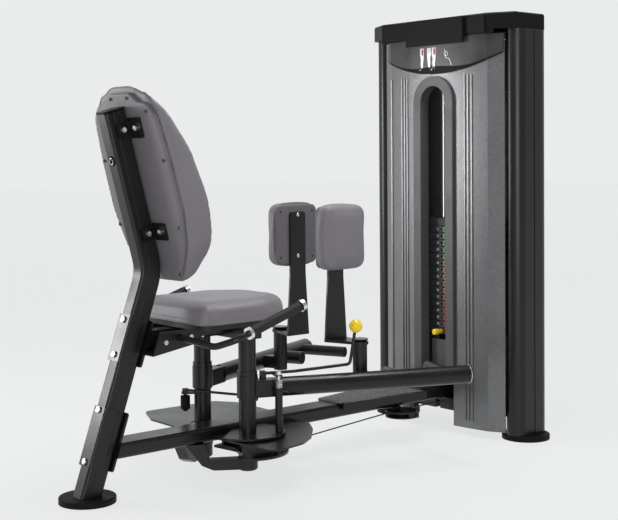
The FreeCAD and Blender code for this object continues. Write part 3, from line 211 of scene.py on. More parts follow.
def cast_iron():
    graph = Graph("stack_iron", (0.022, 0.022, 0.024), 0.5, specular=0.35)
    mottled(graph, 14.0, 0.3, 0.08)
    graph.bump(graph.noise(260.0, 4.0), 0.35, 0.0012)
    return graph.material


def anti_slip():
    """Gritty grey sheet of the tread: light grains in a dark binder."""
    graph = Graph("anti_slip_grit", (0.2, 0.2, 0.2), 0.75)
    grit = graph.remap(graph.cells(430.0), 0.08, 0.42, 1.0, 0.0)
    graph.paint(graph.blend(grit, (0.05, 0.05, 0.052), (0.66, 0.67, 0.67)))
    graph.bump(grit, 0.7, 0.0012)
    return graph.material


def wire_rope():
    graph = Graph("coated_rope", (0.018, 0.018, 0.018), 0.4)
    lay = graph.node("ShaderNodeTexWave", {"Vector": graph.place, "Scale": 160.0}).outputs[1]
    graph.bump(lay, 0.35, 0.0006)
    graph.roughen(graph.remap(graph.noise(80.0), 0.3, 0.7, 0.32, 0.5))
    return graph.material


def stack_colours(low, high):
    """Print whose colour runs from red at the bottom plate over orange to green at the top."""
    graph = Graph("stack_label_print", (0.3, 0.3, 0.05), 0.35)
    height = graph.node("ShaderNodeSeparateXYZ", {0: graph.place}).outputs[2]
    along = graph.remap(height, low, high, 0.0, 1.0)
    ramp = graph.node("ShaderNodeValToRGB", {0: along})
    stops = ramp.color_ramp.elements
    stops[0].position, stops[0].color = 0.0, (0.75, 0.012, 0.010, 1.0)
    stops[1].position, stops[1].color = 1.0, (0.015, 0.55, 0.06, 1.0)
    middle_stops = (
        (0.27, (0.80, 0.02, 0.01, 1.0)), (0.42, (0.90, 0.24, 0.01, 1.0)),
        (0.62, (0.90, 0.32, 0.02, 1.0)), (0.74, (0.02, 0.58, 0.07, 1.0)))
    for position, colour in middle_stops:
        stops.new(position).color = colour
    worn = graph.remap(graph.noise(700.0, 3.0), 0.25, 0.45, 0.0, 1.0)
    graph.paint(graph.blend(worn, (0.05, 0.05, 0.05), ramp.outputs[0]))
    graph.bump(graph.noise(900.0, 2.0), 0.08, 0.0003)
    return graph.material


stack_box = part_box("weight_plates")
SURFACES = {
    "frame_paint": powder_coat("frame_powder_coat", (0.0065, 0.0065, 0.007), 0.30, 0.36),
    "post_paint": powder_coat("post_powder_coat", (0.010, 0.010, 0.011), 0.36, 0.34),
    "shroud_paint": flake_paint(),
    "upholstery": vinyl("grey_vinyl", (0.165, 0.153, 0.172), 0.50),
    "shell": vinyl("grey_vinyl_shell", (0.128, 0.118, 0.130), 0.52),
    "board": moulded("black_board", (0.012, 0.012, 0.013), 0.55),
    "chrome": metal("polished_chrome", (0.78, 0.79, 0.80), 0.09),
    "bolt_steel": metal("zinc_plated_steel", (0.60, 0.61, 0.62), 0.26),
    "dark_steel": metal("blackened_steel", (0.05, 0.05, 0.055), 0.42),
    "rubber": moulded("black_rubber", (0.006, 0.006, 0.006), 0.6, 0.10, 300.0),
    "grip": moulded("grip_rubber", (0.012, 0.012, 0.012), 0.6, 0.35, 700.0),
    "yellow": moulded("yellow_gloss", (0.86, 0.60, 0.012), 0.22, 0.5, 80.0),
    "black_plastic": moulded("black_moulding", (0.006, 0.006, 0.0064), 0.34, 0.06),
    "grey_plastic": moulded("grey_moulding", (0.062, 0.064, 0.066), 0.42, 0.42),
    "placard": moulded("placard_laminate", (0.030, 0.028, 0.028), 0.30, 0.45, 60.0),
    "label": moulded("label_backing", (0.014, 0.014, 0.014), 0.4),
    "plate_iron": cast_iron(),
    "cable": wire_rope(),
}
GRIT = anti_slip()
PRINT = moulded("white_print", (0.78, 0.78, 0.79), 0.45)
RED_PRINT = moulded("red_print", (0.55, 0.02, 0.02), 0.45)
STACK_PRINT = stack_colours(stack_box[0][2], stack_box[1][2])

slot_of = {part["node"]: part["material_slot"] for part in frame["record"]["subparts"]}
for node, piece in frame["nodes"].items():
    for index in range(len(piece.data.materials)):
        piece.data.materials[index] = SURFACES[slot_of[node]]


# ------------------------------------------------------------------ mesh helpers
def add_piece(name, verts, faces, body, slot, material=None, smooth=True):
    mesh = bpy.data.meshes.new(name)
    mesh.from_pydata([tuple(v) for v in verts], [], faces)
    mesh.validate()
    mesh.update()
    if smooth:
        mesh.polygons.foreach_set("use_smooth", [True] * len(mesh.polygons))
    piece = bpy.data.objects.new(name, mesh)
    bpy.context.scene.collection.objects.link(piece)
    mesh.materials.append(material or SURFACES[slot])
    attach(piece, body)
    return piece


def node_mesh(node):
    made = bmesh.new()
    made.from_mesh(frame["nodes"][node].data)
    bmesh.ops.remove_doubles(made, verts=made.verts, dist=1e-6)
    return made


def islands(node):
    """Vertex clouds of a node's separate solids."""
    made = node_mesh(node)
    seen = set()
    clouds = []
    for start in made.verts:
        if start.index in seen:
            continue
        cloud = []
        queue = [start]
        seen.add(start.index)
        while queue:
            vertex = queue.pop()
            cloud.append(tuple(vertex.co))
            for edge in vertex.link_edges:
                other = edge.other_vert(vertex)
                if other.index not in seen:
                    seen.add(other.index)
                    queue.append(other)
        clouds.append(np.array(cloud))
    made.free()
    return clouds


def axis_of(cloud):
    """Centre, longest direction and half length of a vertex cloud."""
    centre = (cloud.min(axis=0) + cloud.max(axis=0)) / 2.0
    vectors = np.linalg.eigh(np.cov((cloud - cloud.mean(axis=0)).T))[1]
    direction = vectors[:, -1]
    along = (cloud - centre) @ direction
    return Vector(centre), Vector(direction), (along.max() - along.min()) / 2.0


def around(direction):
    """Two unit vectors square to a direction."""
    direction = Vector(direction).normalized()
    helper = Vector((0, 0, 1)) if abs(direction.z) < 0.9 else Vector((1, 0, 0))
    side = direction.cross(helper).normalized()
    return side, side.cross(direction)


def lathe(start, direction, profile, sides=40):
    """Turned form: profile lists (distance along, radius)."""
    direction = Vector(direction).normalized()
    u, v = around(direction)
    verts = []
    faces = []
    for along, radius in profile:
        for i in range(sides):
            angle = 2.0 * math.pi * i / sides
            spoke = u * math.cos(angle) + v * math.sin(angle)
            verts.append(Vector(start) + direction * along + spoke * radius)
    for ring in range(len(profile) - 1):
        for i in range(sides):
            j = (i + 1) % sides
            a = ring * sides
            b = a + sides
            faces.append((a + i, a + j, b + j, b + i))
    return verts, faces


def tube(points, radius, closed, sides=10):
    """Round bead following a line of points."""
    verts = []
    faces = []
    count = len(points)
    normal = None
    for i in range(count):
        before = points[i - 1] if (closed or i > 0) else points[i]
        after = points[(i + 1) % count] if (closed or i < count - 1) else points[i]
        along = (Vector(after) - Vector(before)).normalized()
        if normal is None:
            normal = around(along)[0]
        normal = (normal - along * normal.dot(along)).normalized()
        other = along.cross(normal)
        for k in range(sides):
            angle = 2.0 * math.pi * k / sides
            verts.append(Vector(points[i]) + (normal * math.cos(angle) + other * math.sin(angle)) * radius)
    rings = count if closed else count - 1
    for i in range(rings):
        a = i * sides
        b = ((i + 1) % count) * sides
        for k in range(sides):
            m = (k + 1) % sides
            faces.append((a + k, a + m, b + m, b + k))
    return verts, faces


def joined(parts):
    verts = []
    faces = []
    for part_verts, part_faces in parts:
        base = len(verts)
        verts.extend(part_verts)
        faces.extend([tuple(i + base for i in face) for face in part_faces])
    return verts, faces


# ------------------------------------------------------------------ cushions
def fresh_copy(name, mesh):
    piece = bpy.data.objects.new(name, mesh)
    bpy.context.scene.collection.objects.link(piece)
    return piece


def apply_modifiers(piece):
    graph = bpy.context.evaluated_depsgraph_get()
    mesh = bpy.data.meshes.new_from_object(piece.evaluated_get(graph))
    piece.modifiers.clear()
    piece.data = mesh
    return piece


def softened_copy(name, node, voxel, rounding):
    """Even fine mesh of a CAD solid with its edges rounded over."""
    made = node_mesh(node)
    mesh = bpy.data.meshes.new(name)
    made.to_mesh(mesh)
    made.free()
    piece = fresh_copy(name, mesh)
    remesh = piece.modifiers.new("remesh", "REMESH")
    remesh.mode = "VOXEL"
    remesh.voxel_size = voxel
    smooth = piece.modifiers.new("smooth", "SMOOTH")
    smooth.factor = 0.5
    smooth.iterations = rounding
    apply_modifiers(piece)
    return piece


def corners(piece):
    coords = np.empty(len(piece.data.vertices) * 3)
    piece.data.vertices.foreach_get("co", coords)
    return coords.reshape(-1, 3)


def put_back(piece, coords):
    piece.data.vertices.foreach_set("co", coords.ravel())
    piece.data.update()


def cushion(name, node, body, face_normal, voxel, rounding, cap, swell, seam_depth, tautness, bow=0.0):
    """Stuffed cushion grown from its CAD solid.  face_normal points out of the board into the
    cushion; points that rest on the board stay flat on it."""
    outward = Vector(face_normal).normalized()
    piece = softened_copy(name, node, voxel, rounding)
    start = corners(piece)
    depth = start @ np.array(outward)
    rest = depth.min()
    top = depth.max()
    centre = (start.min(axis=0) + start.max(axis=0)) / 2.0
    slim = 1.0 - swell
    start = centre + (start - centre) * slim
    height = (depth - rest) / (top - rest)
    put_back(piece, start)
    pinned = piece.vertex_groups.new(name="pinned")
    low = [int(i) for i in np.nonzero(height < 0.10)[0]]
    pinned.add(low, 1.0, "REPLACE")
    cloth = piece.modifiers.new("cloth", "CLOTH")
    cloth.settings.vertex_group_mass = "pinned"
    cloth.settings.quality = 5
    cloth.settings.mass = 0.3
    cloth.settings.tension_stiffness = 22.0
    cloth.settings.compression_stiffness = 22.0
    cloth.settings.bending_stiffness = 0.8
    cloth.settings.use_pressure = True
    cloth.settings.uniform_pressure_force = 4.0
    cloth.settings.effector_weights.gravity = 0.0
    cloth.point_cache.frame_start = 1
    cloth.point_cache.frame_end = 20
    for step in range(1, 21):
        bpy.context.scene.frame_set(step)
    apply_modifiers(piece)
    bpy.context.scene.frame_set(1)
    moved = evened_out(piece, corners(piece) - start, 60)
    length = np.linalg.norm(moved, axis=1)
    scale = np.minimum(1.0, cap / np.maximum(length, 1e-9))
    start = start + moved * scale[:, None]
    put_back(piece, start)
    taut = piece.modifiers.new("taut", "SMOOTH")
    taut.factor = 0.5
    taut.iterations = tautness
    subdivide = piece.modifiers.new("subdivide", "SUBSURF")
    subdivide.levels = 1
    subdivide.render_levels = 1
    apply_modifiers(piece)
    put_back(piece, bowed(corners(piece), bow))
    fit_to_box(piece, node, 0.002)
    draw_in_seam(piece, outward, rest + seam_depth)
    piece.data.polygons.foreach_set("use_smooth", [True] * len(piece.data.polygons))
    piece.data.materials.clear()
    piece.data.materials.append(SURFACES["upholstery"])
    piece.vertex_groups.clear()
    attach(piece, body)
    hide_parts(node)
    return piece


def bowed(coords, amount):
    """Barrel form: the sides and the ends of an upright pad swell at their middles."""
    low, high = coords.min(axis=0), coords.max(axis=0)
    centre, half = (low + high) / 2.0, (high - low) / 2.0
    x, _, z = ((coords - centre) / half).T
    shaped = coords.copy()
    shaped[:, 0] += x * half[0] * amount * (1.0 - z ** 2)
    shaped[:, 2] += z * half[2] * amount * 0.5 * (1.0 - x ** 2)
    return shaped


def evened_out(piece, moved, rounds):
    """Spreads each point's movement over its neighbours, so that the cover is taut."""
    ends = np.empty(len(piece.data.edges) * 2, dtype=np.int64)
    piece.data.edges.foreach_get("vertices", ends)
    a, b = ends.reshape(-1, 2).T
    count = np.bincount(np.concatenate([a, b]), minlength=len(moved)).clip(1)
    for _ in range(rounds):
        total = np.stack([
            np.bincount(a, moved[b, k], len(moved)) + np.bincount(b, moved[a, k], len(moved))
            for k in range(3)], axis=1)
        moved = 0.5 * moved + 0.5 * total / count[:, None]
    return moved


def fit_to_box(piece, node, spare):
    """Stretches a soft piece to its CAD solid's box, standing a little proud of it."""
    low, high = (np.array(end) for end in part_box(node))
    coords = corners(piece)
    own_low, own_high = coords.min(axis=0), coords.max(axis=0)
    share = (coords - own_low) / (own_high - own_low)
    put_back(piece, low - spare + share * (high - low + 2.0 * spare))


def draw_in_seam(piece, outward, level, pull=0.0016, reach=0.0045):
    """Pulls the cover in along a sewn line that runs round the side."""
    coords = corners(piece)
    normals = np.empty(len(coords) * 3)
    piece.data.vertices.foreach_get("normal", normals)
    normals = normals.reshape(-1, 3)
    gap = coords @ np.array(outward) - level
    side = np.clip(1.0 - np.abs(normals @ np.array(outward)), 0.0, 1.0)
    coords = coords - normals * (pull * side * np.exp(-(gap / reach) ** 2))[:, None]
    put_back(piece, coords)


def loop_on(piece, outward, level):
    """Closed line where a plane square to outward cuts the piece."""
    made = bmesh.new()
    made.from_mesh(piece.data)
    cut = bmesh.ops.bisect_plane(
        made, geom=made.verts[:] + made.edges[:] + made.faces[:], dist=1e-7,
        plane_co=Vector(outward) * level, plane_no=outward)["geom_cut"]
    edges = [item for item in cut if isinstance(item, bmesh.types.BMEdge)]
    links = {}
    for edge in edges:
        a, b = edge.verts
        links.setdefault(a, []).append(b)
        links.setdefault(b, []).append(a)
    best = []
    seen = set()
    for start in links:
        if start in seen:
            continue
        chain = [start]
        seen.add(start)
        while True:
            following = [v for v in links[chain[-1]] if v not in seen]
            if not following:
                break
            chain.append(following[0])
            seen.add(following[0])
        if len(chain) > len(best):
            best = chain
    points = np.array([tuple(v.co) for v in best])
    made.free()
    return points


def evened(points, step):
    """The same closed line with equal steps, lightly smoothed."""
    closed = np.vstack([points, points[:1]])
    lengths = np.concatenate([[0.0], np.cumsum(np.linalg.norm(np.diff(closed, axis=0), axis=1))])
    count = max(24, int(lengths[-1] / step))
    places = np.linspace(0.0, lengths[-1], count, endpoint=False)
    even = np.stack([np.interp(places, lengths, closed[:, k]) for k in range(3)], axis=1)
    for _ in range(4):
        even = (np.roll(even, 1, axis=0) + even * 2.0 + np.roll(even, -1, axis=0)) / 4.0
    return even


def piping(name, piece, body, outward, offset, radius, slot="upholstery"):
    """Sewn bead round a cushion at a distance in front of its board."""
    outward = Vector(outward).normalized()
    depth = corners(piece) @ np.array(outward)
    line = evened(loop_on(piece, outward, depth.min() + offset), 0.006)
    verts, faces = tube([Vector(p) for p in line], radius, True, 8)
    return add_piece(name, verts, faces, body, slot)


def padded_shell(name, node, body, voxel, rounding):
    """Vinyl-covered board: its CAD solid with softened edges."""
    piece = softened_copy(name, node, voxel, rounding)
    piece.data.polygons.foreach_set("use_smooth", [True] * len(piece.data.polygons))
    piece.data.materials.clear()
    piece.data.materials.append(SURFACES["shell"])
    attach(piece, body)
    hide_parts(node)
    return piece


def tilt_of(node):
    """Unit vector square to a flat slab's broad faces, facing +X."""
    cloud = np.array([tuple(v.co) for v in frame["nodes"][node].data.vertices])
    vectors = np.linalg.eigh(np.cov((cloud - cloud.mean(axis=0)).T))[1]
    normal = Vector(vectors[:, 0])
    return normal if normal.x > 0 else -normal


back_out = tilt_of("back_board")
back = cushion("back_cushion_cover", "back_cushion", "frame", back_out, 0.007, 10, 0.012, 0.02, 0.012, 7)
seat = cushion("seat_cushion_cover", "seat_cushion", "frame", (0, 0, 1), 0.006, 10, 0.010, 0.02, 0.014, 12)
piping("back_piping", back, "frame", back_out, 0.003, 0.0026)
piping("seat_piping", seat, "frame", (0, 0, 1), 0.006, 0.0022)
padded_shell("back_shell_cover", "back_board", "frame", 0.005, 4)
for hand, body, sign in (("right", "pad_r", -1.0), ("left", "pad_l", 1.0)):
    pad = cushion(
        hand + "_pad_cover", hand + "_pad_cushion", body, (0, sign, 0),
        0.005, 8, 0.009, 0.03, 0.008, 14, 0.10)
    piping(hand + "_pad_piping", pad, body, (0, sign, 0), 0.003, 0.0020)
    padded_shell(hand + "_pad_shell", hand + "_pad_board", body, 0.004, 3)


# ------------------------------------------------------------------ grips with ribs
def ribbed(length, radius, pitch):
    """Grip outline: low ribs along a sleeve with rounded ends."""
    steps = int(length / pitch)
    profile = [(0.0, radius * 0.70), (0.0015, radius * 0.93)]
    for i in range(steps):
        at = 0.003 + (length - 0.006) * i / steps
        profile.append((at, radius * 0.955))
        profile.append((at + pitch * 0.30, radius))
        profile.append((at + pitch * 0.65, radius))
        profile.append((at + pitch * 0.90, radius * 0.955))
    profile.extend([(length - 0.0015, radius * 0.93), (length, radius * 0.70)])
    return profile


parts = []
for cloud in islands("handle_grips"):
    centre, direction, half = axis_of(cloud)
    out = cloud - np.array(centre)
    out = out - np.outer(out @ np.array(direction), np.array(direction))
    radius = float(np.linalg.norm(out, axis=1).max())
    half = half * 0.985
    parts.append(lathe(centre - direction * half, direction, ribbed(2.0 * half, radius, 0.0062), 40))
grips = add_piece("ribbed_grips", *joined(parts), "frame", "grip")
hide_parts("handle_grips")

# ------------------------------------------------------------------ surfaces to lay details on
def surface(node):
    made = node_mesh(node)
    tree = BVHTree.FromBMesh(made)
    made.free()
    return tree


def in_front(tree, y, z, lift):
    """Point on the forward-facing side of the tower, seen along +X."""
    hit = tree.ray_cast(Vector((FAR_BEHIND, y, z)), FORWARD)[0]
    if hit is None:
        return None
    return hit - Vector((lift, 0, 0))


def flat_shape(outline, lay):
    """Filled outline of (across, up) points laid on a surface by lay(across, up)."""
    verts = [lay(a, b) for a, b in outline]
    if any(v is None for v in verts):
        return [], []
    return verts, [tuple(range(len(verts)))]


def stroke(points, width, lay):
    """Flat line of a given width through (across, up) points."""
    verts = []
    count = len(points)
    for i in range(count):
        a = Vector(points[max(i - 1, 0)])
        b = Vector(points[min(i + 1, count - 1)])
        along = (b - a).normalized()
        side = Vector((-along.y, along.x)) * width / 2.0
        for sign in (1, -1):
            at = Vector(points[i]) + side * sign
            verts.append(lay(at.x, at.y))
    faces = [(2 * i, 2 * i + 1, 2 * i + 3, 2 * i + 2) for i in range(count - 1)]
    return verts, faces


def ring_flat(y, z, outer, inner, lay, sides=28):
    verts = []
    faces = []
    for i in range(sides):
        angle = 2.0 * math.pi * i / sides
        for radius in (outer, inner):
            verts.append(lay(y + radius * math.cos(angle), z + radius * math.sin(angle)))
    for i in range(sides):
        j = (i + 1) % sides
        faces.append((2 * i, 2 * i + 1, 2 * j + 1, 2 * j))
    return verts, faces


# ------------------------------------------------------------------ exercise placard
placard_low, placard_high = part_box("exercise_placard")
placard_tree = surface("exercise_placard")


def on_placard(y, z):
    return in_front(placard_tree, y, z, 0.0004)


def over_print(y, z):
    return in_front(placard_tree, y, z, 0.0008)


middle_y = (placard_low[1] + placard_high[1]) / 2.0
LEG = [
    (-0.011, 0.044), (0.011, 0.046), (0.012, 0.020), (0.007, 0.000), (0.009, -0.016), (0.005, -0.034),
    (0.014, -0.041), (0.013, -0.045), (-0.003, -0.044), (-0.004, -0.034), (-0.006, -0.014), (-0.009, 0.004),
]
figures = []
accents = []
figure_z = placard_low[2] + 0.062
for offset, flip in ((0.078, 1), (0.040, -1), (0.012, 1)):
    shape = [(middle_y + offset + flip * a, figure_z + b) for a, b in LEG]
    figures.append(flat_shape(shape, on_placard))
thigh = [(-0.008, 0.040), (0.001, 0.041), (0.003, 0.018), (-0.007, 0.016)]
for offset, flip in ((0.078, 1), (0.012, 1)):
    shape = [(middle_y + offset + flip * a, figure_z + b) for a, b in thigh]
    accents.append(flat_shape(shape, over_print))
chair = [(-0.045, 0.035), (-0.052, 0.000), (-0.068, -0.004), (-0.080, -0.030)]
figures.append(stroke([(middle_y + a, figure_z + b) for a, b in chair], 0.0028, on_placard))
figures.append(ring_flat(middle_y - 0.052, figure_z + 0.016, 0.010, 0.0082, on_placard))
add_piece("placard_figures", *joined(figures), "frame", "placard", PRINT, smooth=False)
add_piece("placard_accents", *joined(accents), "frame", "placard", RED_PRINT, smooth=False)


def placard_edge(y):
    """Height of the placard's lower edge at y: an arc found by looking up the sheet."""
    low, high = placard_low[2] - 0.002, placard_high[2] - 0.03
    for _ in range(24):
        middle = (low + high) / 2.0
        if on_placard(y, middle) is None:
            low = middle
        else:
            high = middle
    return high


span = np.linspace(placard_low[1] + 0.004, placard_high[1] - 0.004, 70)
verts = []
for y in span:
    edge = placard_edge(y)
    swell = 0.006 + 0.026 * math.exp(-((y - middle_y) / 0.13) ** 2)
    for z in (edge + 0.0008, edge + swell):
        verts.append(on_placard(y, z))
faces = [(2 * i, 2 * i + 1, 2 * i + 3, 2 * i + 2) for i in range(len(span) - 1)]
add_piece("placard_band", verts, faces, "frame", "placard", SURFACES["black_plastic"], smooth=False)

# ------------------------------------------------------------------ stack labels: rings and numbers
_, label_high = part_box("weight_labels")
label_clouds = sorted(islands("weight_labels"), key=lambda cloud: cloud[:, 2].min())
rings = []
for index, cloud in enumerate(label_clouds):
    low, high = cloud.min(axis=0), cloud.max(axis=0)
    face_x = low[0] - 0.0003
    y = (low[1] + high[1]) / 2.0
    z = (low[2] + high[2]) / 2.0
    size = (high[2] - low[2]) / 2.0
    rings.append(ring_flat(y, z, size * 1.02, size * 0.72, lambda a, b: Vector((face_x, a, b)), 32))
add_piece("label_rings", *joined(rings), "stack", "label", STACK_PRINT, smooth=False)

digits = []
plate_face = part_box("weight_plates")[0][0]
for index, cloud in enumerate(label_clouds):
    font = bpy.data.curves.new("digits", "FONT")
    font.body = str(5 * (len(label_clouds) - index))
    font.size = 0.0125
    font.align_x = "CENTER"
    font.align_y = "CENTER"
    holder = bpy.data.objects.new("digits", font)
    bpy.context.scene.collection.objects.link(holder)
    bpy.context.view_layer.update()
    flat = bpy.data.meshes.new_from_object(holder)
    z = (cloud[:, 2].min() + cloud[:, 2].max()) / 2.0
    column = label_high[1] + 0.030
    verts = [Vector((plate_face - 0.0005, column - v.co.x, z + v.co.y)) for v in flat.vertices]
    digits.append((verts, [tuple(p.vertices) for p in flat.polygons]))
    bpy.data.objects.remove(holder)
add_piece("plate_numbers", *joined(digits), "stack", "label", PRINT, smooth=False)

# ------------------------------------------------------------------ tread: grit sheet and flange slots
tread_low, tread_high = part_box("tread_plate")
tread = frame["nodes"]["tread_plate"]
top = [v.co for v in tread.data.vertices if v.co.z > tread_high[2] - 0.0005]


def half_width_at(x):
    """Half width of the tread's top, read off its corners."""
    rear = [v for v in top if v.x < tread_low[0] + 0.012]
    front = [v for v in top if v.x > tread_high[0] - 0.012]
    a = max(v.y for v in rear)
    b = max(v.y for v in front)
    return a + (b - a) * (x - tread_low[0]) / (tread_high[0] - tread_low[0])


verts = []
faces = []
steps = 24
inset = 0.012
for i in range(steps + 1):
    x = tread_low[0] + 0.012 + (tread_high[0] - tread_low[0] - 0.024) * i / steps
    half = half_width_at(x) - inset
    for j in range(13):
        verts.append(Vector((x, -half + 2.0 * half * j / 12, tread_high[2] + 0.0008)))
for i in range(steps):
    for j in range(12):
        a = i * 13 + j
        faces.append((a, a + 1, a + 14, a + 13))
add_piece("tread_grit", verts, faces, "frame", "frame_paint", GRIT, smooth=False)


def on_tread(x, y):
    return Vector((x, y, tread_high[2] + 0.0012))


slots = []
for side in (-1, 1):
    for i in range(13):
        x = tread_low[0] + 0.035 + 0.0285 * i
        y = side * (half_width_at(x) - 0.0065)
        slots.append(stroke([(x, y), (x + 0.018, y + side * 0.0022)], 0.0045, on_tread))
add_piece("tread_edge_slots", *joined(slots), "frame", "frame_paint", SURFACES["label"], smooth=False)

# ------------------------------------------------------------------ small hardware
def screw_head(centre, outward, radius, height):
    """Domed screw head with a recess ring."""
    profile = [(0.0, radius), (height * 0.45, radius * 0.98), (height * 0.85, radius * 0.75),
               (height, radius * 0.45), (height * 0.98, radius * 0.34), (height * 0.35, radius * 0.28),
               (height * 0.30, 0.0001)]
    return lathe(centre, outward, profile, 20)


heads = []
for cloud in islands("upholstery_bolts"):
    low, high = cloud.min(axis=0), cloud.max(axis=0)
    if 0.010 < high[1] - low[1] < 0.0135 and low[2] > 0.68:
        centre = Vector((low + high) / 2.0)
        heads.append(screw_head(centre - back_out * 0.0012, -back_out, 0.0058, 0.0022))
if heads:
    add_piece("back_screws", *joined(heads), "frame", "bolt_steel", SURFACES["board"])

for hand, body, sign in (("right", "pad_r", 1.0), ("left", "pad_l", -1.0)):
    low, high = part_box(hand + "_pad_board")
    plate_low, plate_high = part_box(hand + "_pad_plate")
    y = high[1] if sign > 0 else low[1]
    x0, x1 = low[0] + 0.022, high[0] - 0.022
    z0, z1 = low[2] + 0.026, high[2] - 0.026
    spots = [(x, z) for x in (x0, x1) for z in (z0, z1)]
    heads = [screw_head(Vector((x, y - sign * 0.0006, z)), (0, sign, 0), 0.0046, 0.0018) for x, z in spots]
    add_piece(hand + "_pad_screws", *joined(heads), body, "bolt_steel", SURFACES["board"])
    blade_y = plate_high[1] if sign > 0 else plate_low[1]
    x = (low[0] + high[0]) / 2.0
    heads = [screw_head(Vector((x, blade_y - sign * 0.0002, z)), (0, sign, 0), 0.0075, 0.004)
             for z in (low[2] + 0.030, high[2] - 0.040)]
    add_piece(hand + "_blade_bolts", *joined(heads), body, "bolt_steel")

# coil spring round the start-position plunger
_, guide_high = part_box("plunger_guide")
pin_low, pin_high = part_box("plunger_pin")
pin_centre = (Vector(pin_low) + Vector(pin_high)) / 2.0
spring = []
TURNS = 7
SPRING_R = 0.0128
collar_top = guide_high[2]
spring_z0 = collar_top - 0.029
for i in range(TURNS * 20 + 1):
    angle = 2.0 * math.pi * i / 20.0
    rise = 0.028 * i / (TURNS * 20)
    turn = Vector((math.cos(angle), math.sin(angle), 0.0)) * SPRING_R
    spring.append(Vector((pin_centre.x, pin_centre.y, spring_z0 + rise)) + turn)
add_piece("plunger_spring", *tube(spring, 0.0014, False, 8), "arm_r", "chrome")

# the rope's upright length runs on over the head pulley and shortens as the stack rises; here it is a
# turned tube of fixed length with a mesh of its own
rope_low, rope_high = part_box("stack_cable")
rope_at = (Vector(rope_low) + Vector(rope_high)) / 2.0
rope_radius = (rope_high[0] - rope_low[0]) / 2.0
rope_length = rope_high[2] - rope_low[2]
rope_start = Vector((rope_at.x, rope_at.y, rope_low[2]))
rope_profile = [(0.0, 0.0001)] + [(rope_length * i / 40.0, rope_radius) for i in range(41)]
rope = add_piece("upright_rope", *lathe(rope_start, (0, 0, 1), rope_profile, 16), "frame", "cable")
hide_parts("stack_cable")
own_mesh(rope)

# round plug in the back of the post
post_tree = surface("rear_post")
hit, normal, _, _ = post_tree.ray_cast(Vector((FAR_BEHIND, 0.0, 1.093)), FORWARD)
plug_profile = [(-0.002, 0.017), (0.002, 0.017), (0.0035, 0.0155), (0.0035, 0.0125), (0.001, 0.0118),
                (0.001, 0.0075), (0.0045, 0.0065), (0.0052, 0.0001)]
add_piece("post_plug", *lathe(hit, normal, plug_profile, 36), "frame", "black_plastic")
ring_profile = [(0.0034, 0.0118), (0.0042, 0.0112), (0.0042, 0.0098), (0.0030, 0.0092)]
add_piece("post_plug_ring", *lathe(hit, normal, ring_profile, 36), "frame", "bolt_steel")

# rings where the padded arms' tubes are capped
for hand, body in (("right", "arm_r"), ("left", "arm_l")):
    sign = -1.0 if hand == "right" else 1.0
    cloud = np.array([tuple(v.co) for v in frame["nodes"][hand + "_arm"].data.vertices])
    direction = Vector((math.cos(ARM_SPREAD), sign * math.sin(ARM_SPREAD), 0.0))
    along = cloud @ np.array(direction)
    cap = cloud[along > along.max() - 0.004]
    centre = Vector((cap.min(axis=0) + cap.max(axis=0)) / 2.0)
    profile = [(-0.0075, 0.0328), (-0.0075, 0.0336), (-0.0045, 0.0336), (-0.0042, 0.0320)]
    add_piece(hand + "_arm_ring", *lathe(centre, direction, profile, 56), body, "bolt_steel")

# ------------------------------------------------------------------ floor, light and camera
FLOOR_REACH = 40.0
floor_verts = [(-FLOOR_REACH, -FLOOR_REACH, 0), (FLOOR_REACH, -FLOOR_REACH, 0),
               (FLOOR_REACH, FLOOR_REACH, 0), (-FLOOR_REACH, FLOOR_REACH, 0)]
floor_mesh = bpy.data.meshes.new("floor")
floor_mesh.from_pydata(floor_verts, [], [(0, 1, 2, 3)])
floor = bpy.data.objects.new("floor", floor_mesh)
bpy.context.scene.collection.objects.link(floor)
floor_look = Graph("pale_floor", (0.12, 0.122, 0.122), 0.7, specular=0.05)
mottled(floor_look, 0.8, 0.02, 0.03)
floor_look.set("Emission Color", (0.82, 0.835, 0.83, 1.0))
floor_look.set("Emission Strength", 0.86)
floor_mesh.materials.append(floor_look.material)
floor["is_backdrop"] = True

world = bpy.data.worlds.new("studio")
bpy.context.scene.world = world
world.use_nodes = True
sky = world.node_tree.nodes["Background"]
way = world.node_tree.nodes.new("ShaderNodeTexCoord").outputs["Generated"]
facing = world.node_tree.nodes.new("ShaderNodeVectorMath")
facing.operation = "DOT_PRODUCT"
facing.inputs[1].default_value = (0.70, 0.70, 0.12)
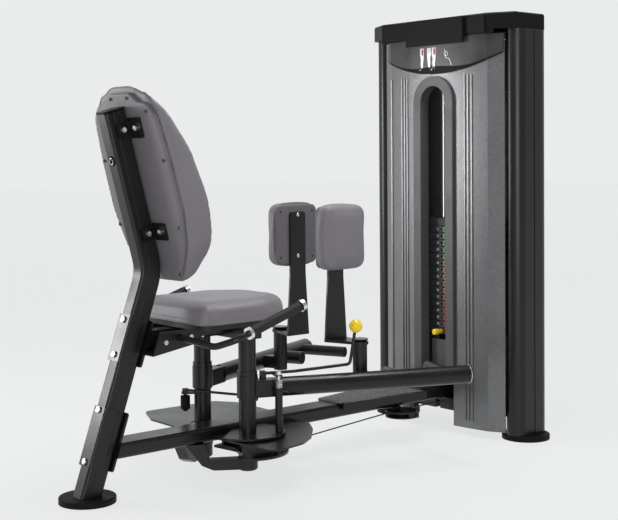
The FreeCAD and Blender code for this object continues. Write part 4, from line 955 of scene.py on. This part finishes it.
level = world.node_tree.nodes.new("ShaderNodeMapRange")
for index, value in ((1, -0.2), (2, 0.75), (3, 0.42), (4, 1.0)):
    level.inputs[index].default_value = value
world.node_tree.links.new(way, facing.inputs[0])
world.node_tree.links.new(facing.outputs["Value"], level.inputs[0])
world.node_tree.links.new(level.outputs[0], sky.inputs[1])
sky.inputs[0].default_value = (0.82, 0.84, 0.835, 1.0)
bpy.context.scene.view_settings.view_transform = "Standard"


def softbox(name, place, target, wide, high, power):
    light = bpy.data.lights.new(name, "AREA")
    light.shape = "RECTANGLE"
    light.size = wide
    light.size_y = high
    light.energy = power
    holder = bpy.data.objects.new(name, light)
    bpy.context.scene.collection.objects.link(holder)
    aim = (Vector(target) - Vector(place)).normalized()
    turned = aim.to_track_quat("-Z", "Y").to_matrix().to_4x4()
    holder.matrix_world = Matrix.Translation(Vector(place)) @ turned


softbox("key", (-3.0, -4.0, 1.4), (0.0, 0.0, 0.7), 2.5, 2.0, 70.0)
softbox("overhead", (0.5, -0.35, 2.3), (0.4, -0.35, 0.3), 1.4, 0.4, 26.0)
softbox("tower_strip", (-2.35, 2.6, 1.2), (0.75, -0.15, 1.0), 0.8, 1.0, 46.0)

camera = bpy.data.cameras.new("camera")
holder = bpy.data.objects.new("camera", camera)
bpy.context.scene.collection.objects.link(holder)
bpy.context.scene.camera = holder
camera.sensor_width = 36.0
camera.lens = 72.85
camera.shift_y = -0.10866
azimuth, pitch, roll = math.radians(49.15), math.radians(-1.65), math.radians(-0.42)
forward = Vector((
    math.cos(azimuth) * math.cos(pitch), math.sin(azimuth) * math.cos(pitch), math.sin(pitch)))
right = forward.cross(Vector((0, 0, 1))).normalized()
up = right.cross(forward)
rolled_right = right * math.cos(roll) + up * math.sin(roll)
rolled_up = up * math.cos(roll) - right * math.sin(roll)
turn = Matrix((rolled_right, rolled_up, -forward)).transposed().to_4x4()
holder.matrix_world = Matrix.Translation(Vector((-2.96085, -3.4865, 1.1028))) @ turn

low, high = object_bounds()
